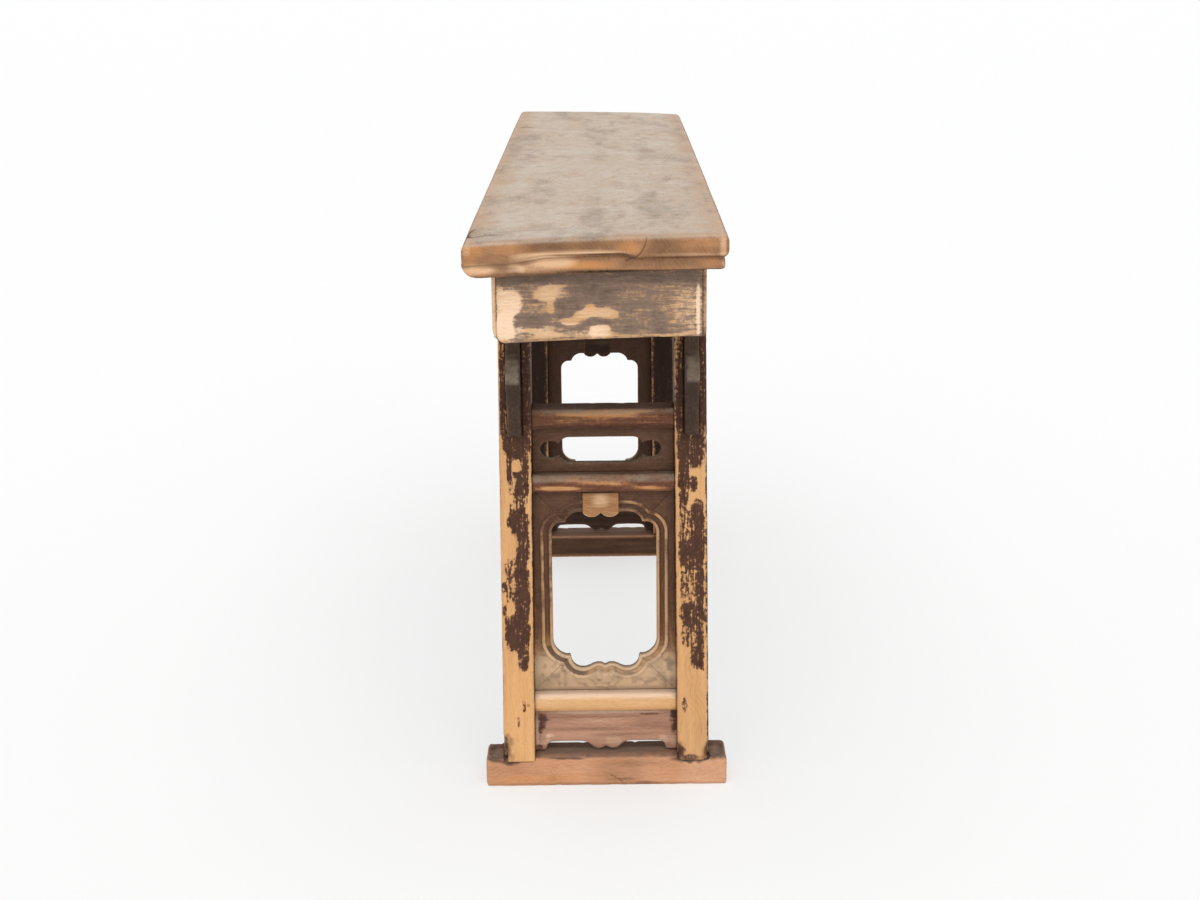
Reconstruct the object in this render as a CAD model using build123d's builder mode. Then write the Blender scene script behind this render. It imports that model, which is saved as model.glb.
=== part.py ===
from build123d import *
import math
import os

os.makedirs("parts", exist_ok=True)

# ------------------------------------------------------------------------------------
# A recessed-leg altar table with sled feet.  Millimetres.
#
# X runs along the table, Y across it and Z up.  The origin is on the floor under the
# middle of the top.  Right and left are the +X and -X ends, front and back the -Y and
# +Y sides.  The two ends are alike, so each piece of an end is built at the right end
# and then mirrored to the left one.
# ------------------------------------------------------------------------------------

# Plank: one thick board whose edge is moulded in two bands
table_height = 880
top_length = 1826
top_width = 340
top_thickness = 45
upper_band = 29  # height of the wide upper band of the edge
band_step = 5  # the lower band stands back by this much
arris_round = 5  # rounding of the top arris
belly_round = 9  # rounding under the upper band
plank_corner = 5

# Aprons under the plank
end_overhang = 30  # of the plank past the end aprons
side_overhang = 32  # of the plank past the long aprons
apron_height = 90
apron_thickness = 21
end_apron_thickness = 18
apron_lip = 5.5  # the long apron's end that shows beside the end apron
corner_tongue = 9  # reach of the tongue that joins the two aprons
corner_tongue_thickness = 6
corner_tongue_stop = 12  # plain wood under that tongue

# Cross ties between the long aprons
tie_spacing = 560
tie_width = 36
tie_height = 40
tie_tenon_height = 24
tie_tenon_width = 18
tie_tenon_length = 12

# Legs
leg_setback = 309  # of the legs' end faces from the plank's ends
leg_depth = 62
leg_width = 47.5
leg_splay = 0.46  # degrees, outwards to the floor
leg_round = 2
outer_leaf = 10.5  # wood outside the long apron, at the top of the leg
top_tenon_height = 20
top_tenon_cheek = 2
top_tenon_end = 8

# Sled feet
sled_height = 46
sled_overhang = 27  # past the legs' outer sides
sled_back = 2  # the sled stands this much behind the legs' inner faces
sled_end_round = 7
sled_arris = 2.5
leg_let_in = 7  # depth of the housing that takes the leg's whole section
foot_tenon_width = 28
foot_tenon_depth = 36
foot_tenon_rise = 3  # the tenon's end stays this far above the floor
wedge_length = 25
wedge_thick_end = 6
wedge_thin_end = 1.5

# Stretchers of an end
stretcher_depth = 46
stretcher_setback = 4  # behind the legs' end faces
stretcher_crown = 6  # bulge of the outer face
stretcher_arris = 2
upper_stretcher_height = 32
middle_stretcher_height = 27
lower_stretcher_height = 28
upper_stretcher_lift = 4  # above the lower ends of the spandrels
pierced_panel_height = 66.5  # between the upper and middle stretchers
skirt_height = 70  # between the sled foot and the lower stretcher
stretcher_tenon_length = 36
stretcher_tenon_thickness = 16
tenon_margin = 1  # wood between a stretcher's tenon and its panel grooves
peg_radius = 2.8
peg_inset = 9  # from the leg's inner side
peg_length = 44

# Panels and boards of an end, held by tongues in grooves
panel_thickness = 14
tongue_thickness = 8
tongue_depth = 6

# Pierced panel between the upper and middle stretchers
lozenge_shift = -3.5  # its piercing sits off the middle
lozenge_border = 15.25  # from the piercing's ends to the legs, were it in the middle
lozenge_half_height = 19
lozenge_waist = 8.5  # half height at the cusps
lozenge_lobe = 13  # half height of the end lobes
lozenge_lobe_length = 27.5  # from a cusp to the end of its lobe
lozenge_lobe_rise = 11  # length over which a lobe opens from its cusp
lozenge_corner = 15  # length of the round corner before a cusp

# Framed opening between the middle and lower stretchers
side_board_width = 26.75
top_board_height = 34.5  # from the stretcher to the top of the lobes
top_cusp_height = 16  # the cusps hang this much below the lobes
top_cusp_reach = 20.25  # from the opening's side to the cusp
top_shoulder = 15  # from the cusp down to the opening's straight side
top_lobe_reach = 21  # from a cusp to the top of its lobe
bottom_board_height = 35
bottom_cusp_height = 20
bottom_cusp_reach = 26.25
bottom_shoulder = 25
bottom_lobe_reach = 18
crest_half = 9  # the two small crests in the middle of the bottom board
crest_rise = 7
crest_dip = 4

# Centre block that clasps the top board
block_shift = -4.5
block_width = 53
block_top_gap = 4.5  # below the middle stretcher
block_height = 31  # at its sides
block_point = 6.5  # the two points hang below the sides
block_point_half = 14.75  # distance of the points from the block's middle
block_notch_rise = 1  # the notch between them, above the sides
block_proud = 2
block_tongue = 5

# Skirt: the shaped bottom apron between the legs, over the sled
skirt_land = 12  # the flat that stands on the sled at each end
skirt_gap = 11.5  # arches over the sled
skirt_land_slope = 13
skirt_pendant_half = 11  # distance of the two middle drops from the middle
skirt_pendant_gap = 1.5  # between the drops and the sled
skirt_pendant_slope = 24
skirt_notch = 3.5

# Spandrels that pass through the legs' slots
spandrel_height = 198
spandrel_reach = 97  # past the leg's face, under the apron
spandrel_lip = 4
cove_height = 65  # from the apron to the foot of the large cove
stem_reach = 28
stem_height = 8
hook_height = 47
hook_reach = 57
hook_tip_drop = 25  # from the top of the hook to its furthest point
hook_cusp_reach = 46
neck_reach = 20
toe_height = 19
toe_reach = 10
spandrel_tongue = 8
spandrel_tongue_thickness = 7

# Clearances
fit = 0.15  # each side of a tenon, tongue or peg
play = 0.5  # past the end of a tenon or tongue

# Worked-out places
underside = table_height - top_thickness
apron_base = underside - apron_height
apron_length = top_length - 2 * end_overhang
apron_spread = top_width - 2 * side_overhang
apron_middle = (apron_spread - apron_thickness) / 2
end_apron_width = apron_spread - 2 * apron_lip
leg_end = top_length / 2 - leg_setback
leg_x = leg_end - leg_depth / 2
leg_seat = sled_height - leg_let_in
lean = math.tan(math.radians(leg_splay))
spandrel_base = apron_base - spandrel_height
upper_stretcher_base = spandrel_base + upper_stretcher_lift
panel_base = upper_stretcher_base - pierced_panel_height
middle_stretcher_base = panel_base - middle_stretcher_height
lower_stretcher_base = sled_height + skirt_height
opening_base = lower_stretcher_base + lower_stretcher_height
tenon_shoulder = tongue_depth + tenon_margin
groove_depth = tongue_depth + play
groove_width = tongue_thickness + 2 * fit


def leg_outer(height):
    """Distance of a leg's outer side from the table's middle at this height."""
    return apron_spread / 2 + outer_leaf + (underside - height) * lean


def leg_inner(height):
    """Distance of a leg's inner side from the table's middle at this height."""
    return leg_outer(height) - leg_width


def leg_middle(height):
    """Distance of a leg's centre line from the table's middle at this height."""
    return leg_outer(height) - leg_width / 2


def leg_corners(bottom, top):
    """Corners of a back leg's leaning outline, seen from the end."""
    return [
        (leg_inner(bottom), bottom),
        (leg_outer(bottom), bottom),
        (leg_outer(top), top),
        (leg_inner(top), top),
    ]


def between_corners(bottom, top, reach=0):
    """Corners of the area between the two legs, widened into them by reach."""
    return [
        (-leg_inner(bottom) - reach, bottom),
        (leg_inner(bottom) + reach, bottom),
        (leg_inner(top) + reach, top),
        (-leg_inner(top) - reach, top),
    ]


def end_slab(corners, thickness, mode=Mode.ADD):
    """Adds or cuts a slab between the legs, given by its corners as seen from the end."""
    with BuildSketch(Plane.YZ.offset(leg_x)) as area:
        Polygon(*corners, align=None)
    extrude(area.sketch, amount=thickness / 2, both=True, mode=mode)


def level_box(size, middle, mode=Mode.ADD):
    """Adds or cuts a box that stands square in the table."""
    with Locations(middle):
        Box(*size, mode=mode)


def mirrored(piece, plane):
    """The same piece at the other end or side of the table."""
    with BuildPart() as twin:
        mirror(piece, about=plane)
    return twin.part


def keep(piece, name):
    """Labels a finished piece and writes it."""
    piece.label = name
    export_step(piece, f"parts/{name}.step")


def keep_both_ends(piece, name):
    """Writes a piece of the right end and its twin at the left end."""
    left = mirrored(piece, Plane.YZ)
    keep(piece, f"{name}_right")
    keep(left, f"{name}_left")


# ------------------------------------------------------------------ top plank

# each leg ends in two tenons, one on each side of its slot
outer_tenon_width = outer_leaf - 2 * top_tenon_cheek
inner_tenon_width = leg_width - outer_leaf - apron_thickness - 2 * top_tenon_cheek
outer_tenon_y = (apron_spread + outer_leaf) / 2
inner_tenon_y = (apron_spread / 2 - apron_thickness + leg_inner(underside)) / 2
top_tenon_length = leg_depth - 2 * top_tenon_end
top_tenons = ((outer_tenon_width, outer_tenon_y), (inner_tenon_width, inner_tenon_y))

with BuildPart() as top_plank:
    with BuildSketch(Plane.XY.offset(table_height - upper_band)):
        RectangleRounded(top_length, top_width, plank_corner)
    extrude(amount=upper_band)
    fillet(top_plank.faces().sort_by(Axis.Z)[-1].edges(), arris_round)
    fillet(top_plank.faces().sort_by(Axis.Z)[0].edges(), belly_round)
    with BuildSketch(Plane.XY.offset(underside)):
        Rectangle(top_length - 2 * band_step, top_width - 2 * band_step)
    extrude(amount=top_thickness - upper_band + belly_round)
    mortise_height = top_tenon_height + play
    for width, y in top_tenons:
        with Locations(Plane.XY.offset(underside + mortise_height / 2)):
            with GridLocations(2 * leg_x, 2 * y, 2, 2):
                Box(top_tenon_length + 2 * fit, width + 2 * fit, mortise_height, mode=Mode.SUBTRACT)
keep(top_plank.part, "top_plank")


# ------------------------------------------------------------------ aprons and ties

# the end apron lies in rabbets of the long aprons and takes their tongues
apron_z = underside - apron_height / 2
rabbet_width = apron_thickness - apron_lip
rabbet_y = (apron_spread - 2 * apron_lip - rabbet_width) / 2
rabbet_floor_x = apron_length / 2 - end_apron_thickness
corner_tongue_height = apron_height - corner_tongue_stop
tie_z = underside - tie_height / 2
tie_length = apron_spread - 2 * apron_thickness

with BuildPart() as long_apron:
    level_box((apron_length, apron_thickness, apron_height), (0, apron_middle, apron_z))
    for end in (-1, 1):
        rabbet_size = (end_apron_thickness, rabbet_width, apron_height)
        rabbet_x = end * (rabbet_floor_x + end_apron_thickness / 2)
        level_box(rabbet_size, (rabbet_x, rabbet_y, apron_z), Mode.SUBTRACT)
        tongue_size = (corner_tongue, corner_tongue_thickness, corner_tongue_height)
        tongue_x = end * (rabbet_floor_x + corner_tongue / 2)
        level_box(tongue_size, (tongue_x, rabbet_y, underside - corner_tongue_height / 2))
        # groove for the spandrel's tongue, along the lower edge
        groove_length = leg_depth + 2 * (spandrel_reach + play)
        groove_height = spandrel_tongue + play
        groove_size = (groove_length, spandrel_tongue_thickness + 2 * fit, groove_height)
        groove_middle = (end * leg_x, apron_middle, apron_base + groove_height / 2)
        level_box(groove_size, groove_middle, Mode.SUBTRACT)
        # mortise for the cross tie
        mortise_depth = tie_tenon_length + play
        mortise_size = (tie_tenon_width + 2 * fit, mortise_depth, tie_tenon_height + 2 * fit)
        mortise_middle = (end * tie_spacing / 2, (tie_length + mortise_depth) / 2, tie_z)
        level_box(mortise_size, mortise_middle, Mode.SUBTRACT)
keep(long_apron.part, "long_apron_back")
keep(mirrored(long_apron.part, Plane.XZ), "long_apron_front")

with BuildPart() as end_apron:
    end_apron_x = rabbet_floor_x + end_apron_thickness / 2
    level_box((end_apron_thickness, end_apron_width, apron_height), (end_apron_x, 0, apron_z))
    slot_depth = corner_tongue + play
    slot_height = corner_tongue_height + play
    slot_size = (slot_depth, corner_tongue_thickness + 2 * fit, slot_height)
    for side in (-1, 1):
        slot_middle = (rabbet_floor_x + slot_depth / 2, side * rabbet_y, underside - slot_height / 2)
        level_box(slot_size, slot_middle, Mode.SUBTRACT)
keep_both_ends(end_apron.part, "end_apron")

with BuildPart() as cross_tie:
    tie_middle = (tie_spacing / 2, 0, tie_z)
    level_box((tie_width, tie_length, tie_height), tie_middle)
    level_box((tie_tenon_width, tie_length + 2 * tie_tenon_length, tie_tenon_height), tie_middle)
keep_both_ends(cross_tie.part, "cross_tie")


# ------------------------------------------------------------------ stretchers

stretchers = {
    "upper_stretcher": (upper_stretcher_base, upper_stretcher_height),
    "middle_stretcher": (middle_stretcher_base, middle_stretcher_height),
    "lower_stretcher": (lower_stretcher_base, lower_stretcher_height),
}
stretcher_front = leg_end - stretcher_setback
stretcher_back = stretcher_front - stretcher_depth


def cut_groove(height, direction):
    """Cuts a panel groove into the piece being built, up or down from this height."""
    groove_z = height + direction * groove_depth / 2
    level_box((groove_width, top_width, groove_depth), (leg_x, 0, groove_z), Mode.SUBTRACT)


def cut_mortises(base, height):
    """Cuts the room for both tenons of a stretcher into the piece being built."""
    low = base + tenon_shoulder - fit
    high = base + height - tenon_shoulder + fit
    corners = between_corners(low, high, stretcher_tenon_length + play)
    end_slab(corners, stretcher_tenon_thickness + 2 * fit, Mode.SUBTRACT)


def peg_y(height):
    """Distance of a peg from the table's middle; beside a slot it runs in the middle of the leaf."""
    slot_side = apron_spread / 2 - apron_thickness
    if height > spandrel_base:
        return (leg_inner(height) + slot_side) / 2
    return leg_inner(height) + peg_inset


def peg_pair(height, radius, length, mode=Mode.ADD):
    """Adds or cuts the two rods that run in from the legs' end faces at this height."""
    for side in (-1, 1):
        with Locations((leg_end - length / 2, side * peg_y(height), height)):
            Cylinder(radius, length, rotation=(0, 90, 0), mode=mode)


def cut_peg_holes(height):
    """Cuts the holes of a stretcher's two pegs into the piece being built."""
    peg_pair(height, peg_radius + fit, peg_length + play, Mode.SUBTRACT)


for name, (base, height) in stretchers.items():
    top = base + height
    with BuildPart() as stretcher:
        with BuildSketch(Plane.XZ):
            with BuildLine():
                flat_front = stretcher_front - stretcher_crown
                Polyline((flat_front, base), (stretcher_back, base), (stretcher_back, top), (flat_front, top))
                ThreePointArc((flat_front, top), (stretcher_front, base + height / 2), (flat_front, base))
            make_face()
        extrude(amount=top_width, both=True)
        fillet(stretcher.edges().filter_by(Axis.Y).group_by(Axis.X)[-1], stretcher_arris)
        end_slab(between_corners(base, top), 2 * leg_end, Mode.INTERSECT)
        tenon = between_corners(base + tenon_shoulder, top - tenon_shoulder, stretcher_tenon_length)
        end_slab(tenon, stretcher_tenon_thickness)
        if name != "upper_stretcher":
            cut_groove(top, -1)
        cut_groove(base, 1)
        cut_peg_holes(base + height / 2)
    keep_both_ends(stretcher.part, name)


# ------------------------------------------------------------------ legs and feet

with BuildPart() as back_leg:
    end_slab(leg_corners(leg_seat, underside), leg_depth)
    fillet(back_leg.edges().sort_by(SortBy.LENGTH)[-4:], leg_round)
    # tenons up into the plank
    for width, y in top_tenons:
        tenon_size = (top_tenon_length, width, top_tenon_height)
        level_box(tenon_size, (leg_x, y, underside + top_tenon_height / 2))
    # slot that takes the apron and the spandrel
    slot_height = underside - spandrel_base
    slot_size = (leg_depth, apron_thickness + 2 * fit, slot_height)
    level_box(slot_size, (leg_x, apron_middle, spandrel_base + slot_height / 2), Mode.SUBTRACT)
    # tenon down through the sled, sawn for its wedge
    foot_tenon_y = leg_middle(leg_seat)
    foot_tenon_height = leg_seat - foot_tenon_rise
    foot_tenon_size = (foot_tenon_depth, foot_tenon_width, foot_tenon_height)
    level_box(foot_tenon_size, (leg_x, foot_tenon_y, foot_tenon_rise + foot_tenon_height / 2))
    wedge_corners = [
        (foot_tenon_y - wedge_thick_end / 2, foot_tenon_rise),
        (foot_tenon_y + wedge_thick_end / 2, foot_tenon_rise),
        (foot_tenon_y + wedge_thin_end / 2, foot_tenon_rise + wedge_length),
        (foot_tenon_y - wedge_thin_end / 2, foot_tenon_rise + wedge_length),
    ]
    end_slab(wedge_corners, foot_tenon_depth, Mode.SUBTRACT)
    # mortises, peg holes and the panels' long groove on the inner side
    for base, height in stretchers.values():
        cut_mortises(base, height)
        cut_peg_holes(base + height / 2)
    groove = between_corners(sled_height, upper_stretcher_base + groove_depth, groove_depth)
    end_slab(groove, groove_width, Mode.SUBTRACT)
for side_name, leg in (("back", back_leg.part), ("front", mirrored(back_leg.part, Plane.XZ))):
    keep_both_ends(leg, f"leg_{side_name}")

with BuildPart() as sled_foot:
    sled_depth = leg_depth + sled_back
    sled_length = 2 * (leg_outer(sled_height) + sled_overhang)
    with BuildSketch(Plane.YZ.offset(leg_end - sled_depth)):
        with Locations((0, sled_height / 2)):
            Rectangle(sled_length, sled_height)
    extrude(amount=sled_depth)
    fillet(sled_foot.edges().filter_by(Axis.X).group_by(Axis.Z)[-1], sled_end_round)
    fillet(sled_foot.edges().filter_by(Axis.Z), sled_arris)
    for side in (-1, 1):
        housing = [(side * y, z) for y, z in leg_corners(leg_seat, sled_height)]
        end_slab(housing, leg_depth, Mode.SUBTRACT)
        mortise_size = (foot_tenon_depth + 2 * fit, foot_tenon_width + 2 * fit, leg_seat)
        level_box(mortise_size, (leg_x, side * foot_tenon_y, leg_seat / 2), Mode.SUBTRACT)
keep_both_ends(sled_foot.part, "sled_foot")

with BuildPart() as foot_wedges:
    for side in (-1, 1):
        end_slab([(side * y, z) for y, z in wedge_corners], foot_tenon_depth)
keep_both_ends(foot_wedges.part, "foot_wedges")

with BuildPart() as stretcher_pegs:
    for base, height in stretchers.values():
        peg_pair(base + height / 2, peg_radius, peg_length)
keep_both_ends(stretcher_pegs.part, "stretcher_pegs")


# ------------------------------------------------------------------ spandrels

with BuildPart() as back_spandrel:
    # outline from the foot of the spandrel up to the apron, on the outer side of the leg
    hook_z = apron_base - cove_height - stem_height
    toe = (leg_end + toe_reach, spandrel_base)
    neck = (leg_end + neck_reach, spandrel_base + toe_height)
    hook_cusp = (leg_end + hook_cusp_reach, hook_z - hook_height)
    hook_tip = (leg_end + hook_reach, hook_z - hook_tip_drop)
    hook_start = (leg_end + stem_reach, hook_z)
    stem_top = (leg_end + stem_reach, hook_z + stem_height)
    cove_end = (leg_end + spandrel_reach, apron_base - spandrel_lip)
    with BuildSketch(Plane.XZ.offset(-apron_middle)):
        with BuildLine():
            Line((leg_x, spandrel_base), toe)
            TangentArc(toe, neck, tangent=(1, 0))
            TangentArc(neck, hook_cusp, tangent=(0, 1))
            ThreePointArc(hook_cusp, hook_tip, hook_start)
            Line(hook_start, stem_top)
            TangentArc(stem_top, cove_end, tangent=(0, 1))
            Polyline(cove_end, (cove_end[0], apron_base), (leg_x, apron_base), (leg_x, spandrel_base))
        make_face()
        mirror(about=Plane.YZ.offset(leg_x))
    extrude(amount=apron_thickness / 2, both=True)
    tongue_size = (leg_depth + 2 * spandrel_reach, spandrel_tongue_thickness, spandrel_tongue)
    level_box(tongue_size, (leg_x, apron_middle, apron_base + spandrel_tongue / 2))
    # the upper stretcher's tenon passes through the spandrel
    cut_mortises(*stretchers["upper_stretcher"])
for side_name, spandrel in (("back", back_spandrel.part), ("front", mirrored(back_spandrel.part, Plane.XZ))):
    keep_both_ends(spandrel, f"spandrel_{side_name}")


# ------------------------------------------------------------------ panels of an end


def level_curve(start, end):
    """Draws a double curve that leaves one point and meets the other level."""
    half_way = ((start[0] + end[0]) / 2, (start[1] + end[1]) / 2)
    direction = math.copysign(1, end[0] - start[0])
    TangentArc(start, half_way, tangent=(direction, 0))
    TangentArc(end, half_way, tangent=(-direction, 0))


def side_tongue(bottom, top, side):
    """Adds the tongue that sits in one leg's groove between two heights."""
    corners = [
        (side * leg_inner(bottom), bottom),
        (side * (leg_inner(bottom) + tongue_depth), bottom),
        (side * (leg_inner(top) + tongue_depth), top),
        (side * leg_inner(top), top),
    ]
    end_slab(corners, tongue_thickness)


def level_tongue(height, direction):
    """Adds the tongue that sits in a stretcher's groove, up or down from this height."""
    level_box(
        (tongue_thickness, 2 * leg_inner(height), tongue_depth),
        (leg_x, 0, height + direction * tongue_depth / 2),
    )


with BuildPart() as pierced_panel:
    end_slab(between_corners(panel_base, upper_stretcher_base), panel_thickness)
    tongue = between_corners(panel_base - tongue_depth, upper_stretcher_base + tongue_depth, tongue_depth)
    end_slab(tongue, tongue_thickness)
    lozenge_centre = (leg_x, lozenge_shift, panel_base + pierced_panel_height / 2)
    lozenge_end = leg_inner(panel_base) - lozenge_border
    with BuildSketch(Plane(origin=lozenge_centre, x_dir=(0, 1, 0), z_dir=(1, 0, 0))):
        with BuildLine():
            cusp = (lozenge_end - lozenge_lobe_length, lozenge_waist)
            lobe_start = (cusp[0] + lozenge_lobe_rise, lozenge_lobe)
            lobe_end = (lozenge_end - lozenge_lobe, lozenge_lobe)
            edge = Line((0, lozenge_half_height), (cusp[0] - lozenge_corner, lozenge_half_height))
            TangentArc(edge @ 1, cusp, tangent=(1, 0))
            TangentArc(lobe_start, cusp, tangent=(-1, 0))
            Line(lobe_start, lobe_end)
            TangentArc(lobe_end, (lozenge_end, 0), tangent=(1, 0))
            Polyline((lozenge_end, 0), (0, 0), edge @ 0)
        make_face()
        mirror(about=Plane.YZ)
        mirror(about=Plane.XZ)
    extrude(amount=panel_thickness, both=True, mode=Mode.SUBTRACT)
keep_both_ends(pierced_panel.part, "pierced_panel")

# corners of the framed opening's boards, at the back side: the mitres run from corner to cusp
opening_side = leg_inner(middle_stretcher_base) - side_board_width
top_corner = (leg_inner(middle_stretcher_base), middle_stretcher_base)
top_cusp = (opening_side - top_cusp_reach, middle_stretcher_base - top_board_height - top_cusp_height)
top_lobe = (top_cusp[0] - top_lobe_reach, middle_stretcher_base - top_board_height)
bottom_corner = (leg_inner(opening_base), opening_base)
bottom_cusp = (opening_side - bottom_cusp_reach, opening_base + bottom_board_height + bottom_cusp_height)
bottom_lobe = (bottom_cusp[0] - bottom_lobe_reach, opening_base + bottom_board_height)

with BuildPart() as frame_top:
    with BuildSketch(Plane.YZ.offset(leg_x)):
        with BuildLine():
            TangentArc(top_lobe, top_cusp, tangent=(1, 0))
            Polyline(top_cusp, top_corner, (0, middle_stretcher_base), (0, top_lobe[1]), top_lobe)
        make_face()
        mirror(about=Plane.YZ)
    extrude(amount=panel_thickness / 2, both=True)
    level_tongue(middle_stretcher_base, 1)
    # the block sits in a notch whose sides keep a tongue
    notch_top = middle_stretcher_base - block_top_gap
    notch_height = notch_top - top_cusp[1]
    notch_middle = (leg_x, block_shift, notch_top - notch_height / 2)
    level_box((panel_thickness, block_width - 2 * block_tongue, notch_height), notch_middle, Mode.SUBTRACT)
    cheek = (panel_thickness - tongue_thickness) / 2
    for face in (-1, 1):
        cheek_middle = (leg_x + face * (panel_thickness - cheek) / 2, *notch_middle[1:])
        level_box((cheek, block_width, notch_height), cheek_middle, Mode.SUBTRACT)
keep_both_ends(frame_top.part, "frame_top")

with BuildPart() as frame_bottom:
    crest = (crest_half, bottom_lobe[1] + crest_rise)
    with BuildSketch(Plane.YZ.offset(leg_x)):
        with BuildLine():
            TangentArc(bottom_lobe, bottom_cusp, tangent=(1, 0))
            level_curve(bottom_lobe, crest)
            TangentArc(crest, (0, crest[1] - crest_dip), tangent=(-1, 0))
            Polyline((0, crest[1] - crest_dip), (0, opening_base), bottom_corner, bottom_cusp)
        make_face()
        mirror(about=Plane.YZ)
    extrude(amount=panel_thickness / 2, both=True)
    level_tongue(opening_base, -1)
keep_both_ends(frame_bottom.part, "frame_bottom")

with BuildPart() as frame_back:
    with BuildSketch(Plane.YZ.offset(leg_x)):
        with BuildLine():
            side_top = (opening_side, top_cusp[1] - top_shoulder)
            side_bottom = (opening_side, bottom_cusp[1] + bottom_shoulder)
            TangentArc(side_top, top_cusp, tangent=(0, 1))
            Line(side_top, side_bottom)
            TangentArc(side_bottom, bottom_cusp, tangent=(0, -1))
            Polyline(bottom_cusp, bottom_corner, top_corner, top_cusp)
        make_face()
    extrude(amount=panel_thickness / 2, both=True)
    side_tongue(opening_base, middle_stretcher_base, 1)
keep_both_ends(frame_back.part, "frame_back")
keep_both_ends(mirrored(frame_back.part, Plane.XZ), "frame_front")

with BuildPart() as centre_block:
    block_side = notch_top - block_height
    block_point_height = block_side - block_point
    with BuildSketch(Plane.YZ.offset(leg_x)):
        with BuildLine(Plane.XY.shift_origin((block_shift, 0, 0))):
            half = block_width / 2
            notch = (0, block_side + block_notch_rise)
            for side in (-1, 1):
                point = (side * block_point_half, block_point_height)
                ThreePointArc(notch, point, (side * half, block_side))
            Polyline((-half, block_side), (-half, notch_top), (half, notch_top), (half, block_side))
        make_face()
    extrude(amount=panel_thickness / 2 + block_proud, both=True)
    slot_depth = block_tongue + fit
    slot_size = (groove_width, slot_depth, block_height + block_point)
    slot_z = notch_top - (block_height + block_point) / 2
    for side in (-1, 1):
        slot_y = block_shift + side * (block_width - slot_depth) / 2
        level_box(slot_size, (leg_x, slot_y, slot_z), Mode.SUBTRACT)
keep_both_ends(centre_block.part, "centre_block")

with BuildPart() as skirt:
    arch = sled_height + skirt_gap
    pendant = (skirt_pendant_half, sled_height + skirt_pendant_gap)
    notch = (0, pendant[1] + skirt_notch)
    arch_start = (skirt_pendant_half + skirt_pendant_slope, arch)
    land = (leg_inner(sled_height) - skirt_land, sled_height)
    arch_end = (land[0] - skirt_land_slope, arch)
    foot_corner = (leg_inner(sled_height), sled_height)
    head_corner = (leg_inner(lower_stretcher_base), lower_stretcher_base)
    with BuildSketch(Plane.YZ.offset(leg_x)):
        with BuildLine():
            TangentArc(pendant, notch, tangent=(-1, 0))
            level_curve(pendant, arch_start)
            Line(arch_start, arch_end)
            level_curve(arch_end, land)
            Polyline(land, foot_corner, head_corner, (0, lower_stretcher_base), notch)
        make_face()
        mirror(about=Plane.YZ)
    extrude(amount=panel_thickness / 2, both=True)
    level_tongue(lower_stretcher_base, 1)
    side_tongue(sled_height, lower_stretcher_base, 1)
    side_tongue(sled_height, lower_stretcher_base, -1)
keep_both_ends(skirt.part, "skirt")
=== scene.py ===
# %% [markdown]
# # A Chinese recessed-leg altar table
#
# The table is a long plank on four legs that stand well in from its ends.  Each pair of
# legs shares a sled foot and holds a pierced panel, a framed opening and a skirt.  It is
# old: the arrises are round, the lacquer is half gone and the feet have begun to rot.
#
# The CAD model holds every piece as it was when new.  This lesson wears copies of them
# down, carves them where such tables are carved, and gives them wood.

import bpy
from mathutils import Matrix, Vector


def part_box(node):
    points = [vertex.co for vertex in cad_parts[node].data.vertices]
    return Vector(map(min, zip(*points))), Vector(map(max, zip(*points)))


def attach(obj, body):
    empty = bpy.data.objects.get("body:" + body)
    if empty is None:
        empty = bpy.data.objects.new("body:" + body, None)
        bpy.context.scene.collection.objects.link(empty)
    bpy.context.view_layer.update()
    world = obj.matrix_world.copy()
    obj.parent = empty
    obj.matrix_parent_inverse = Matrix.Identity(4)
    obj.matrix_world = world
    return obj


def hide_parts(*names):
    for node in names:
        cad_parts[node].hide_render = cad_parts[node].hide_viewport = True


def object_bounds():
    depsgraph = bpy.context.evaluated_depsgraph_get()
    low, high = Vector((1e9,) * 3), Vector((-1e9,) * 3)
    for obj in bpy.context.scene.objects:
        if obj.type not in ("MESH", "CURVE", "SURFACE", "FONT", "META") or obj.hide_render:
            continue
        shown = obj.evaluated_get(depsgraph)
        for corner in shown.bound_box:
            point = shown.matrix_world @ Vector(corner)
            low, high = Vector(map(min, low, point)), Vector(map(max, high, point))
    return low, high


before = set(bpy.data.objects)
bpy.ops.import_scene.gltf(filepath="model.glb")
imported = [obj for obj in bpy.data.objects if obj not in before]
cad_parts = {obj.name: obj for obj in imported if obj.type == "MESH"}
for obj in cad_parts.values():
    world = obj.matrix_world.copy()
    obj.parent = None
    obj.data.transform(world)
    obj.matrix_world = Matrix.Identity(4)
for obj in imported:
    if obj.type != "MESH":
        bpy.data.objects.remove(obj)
cad_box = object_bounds()
print(f"{len(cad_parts)} CAD pieces in a box of", [round(b - a, 3) for a, b in zip(*cad_box)])

# %% Other modules, and the units
import cmath
import math
from functools import partial

import bmesh
import bpy
import numpy as np
from mathutils import Matrix, Vector
from mathutils.bvhtree import BVHTree
from mathutils.kdtree import KDTree

MM = 0.001  # Blender works in metres, this script in millimetres
SIDES = {"right": 1, "left": -1}  # the two ends of the table, and the sign of their X


def linear(colour):
    """An sRGB colour such as "#d9a86c" as the linear colour that a socket takes."""
    shares = [int(colour[i : i + 2], 16) / 255 for i in (1, 3, 5)]
    return (*(s / 12.92 if s <= 0.04045 else ((s + 0.055) / 1.055) ** 2.4 for s in shares), 1)


print("white is", linear("#ffffff"), "and honey wood is", [round(c, 3) for c in linear("#d9a86c")])

# %% [markdown]
# ## The camera
#
# The table is seen from one end, from a little above its top, through a longish lens.
# A camera can be aimed with a Track To constraint, but that hides its numbers and can't
# roll it.  Three angles say it all: how far it looks down, sideways, and how it is tilted.

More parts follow.
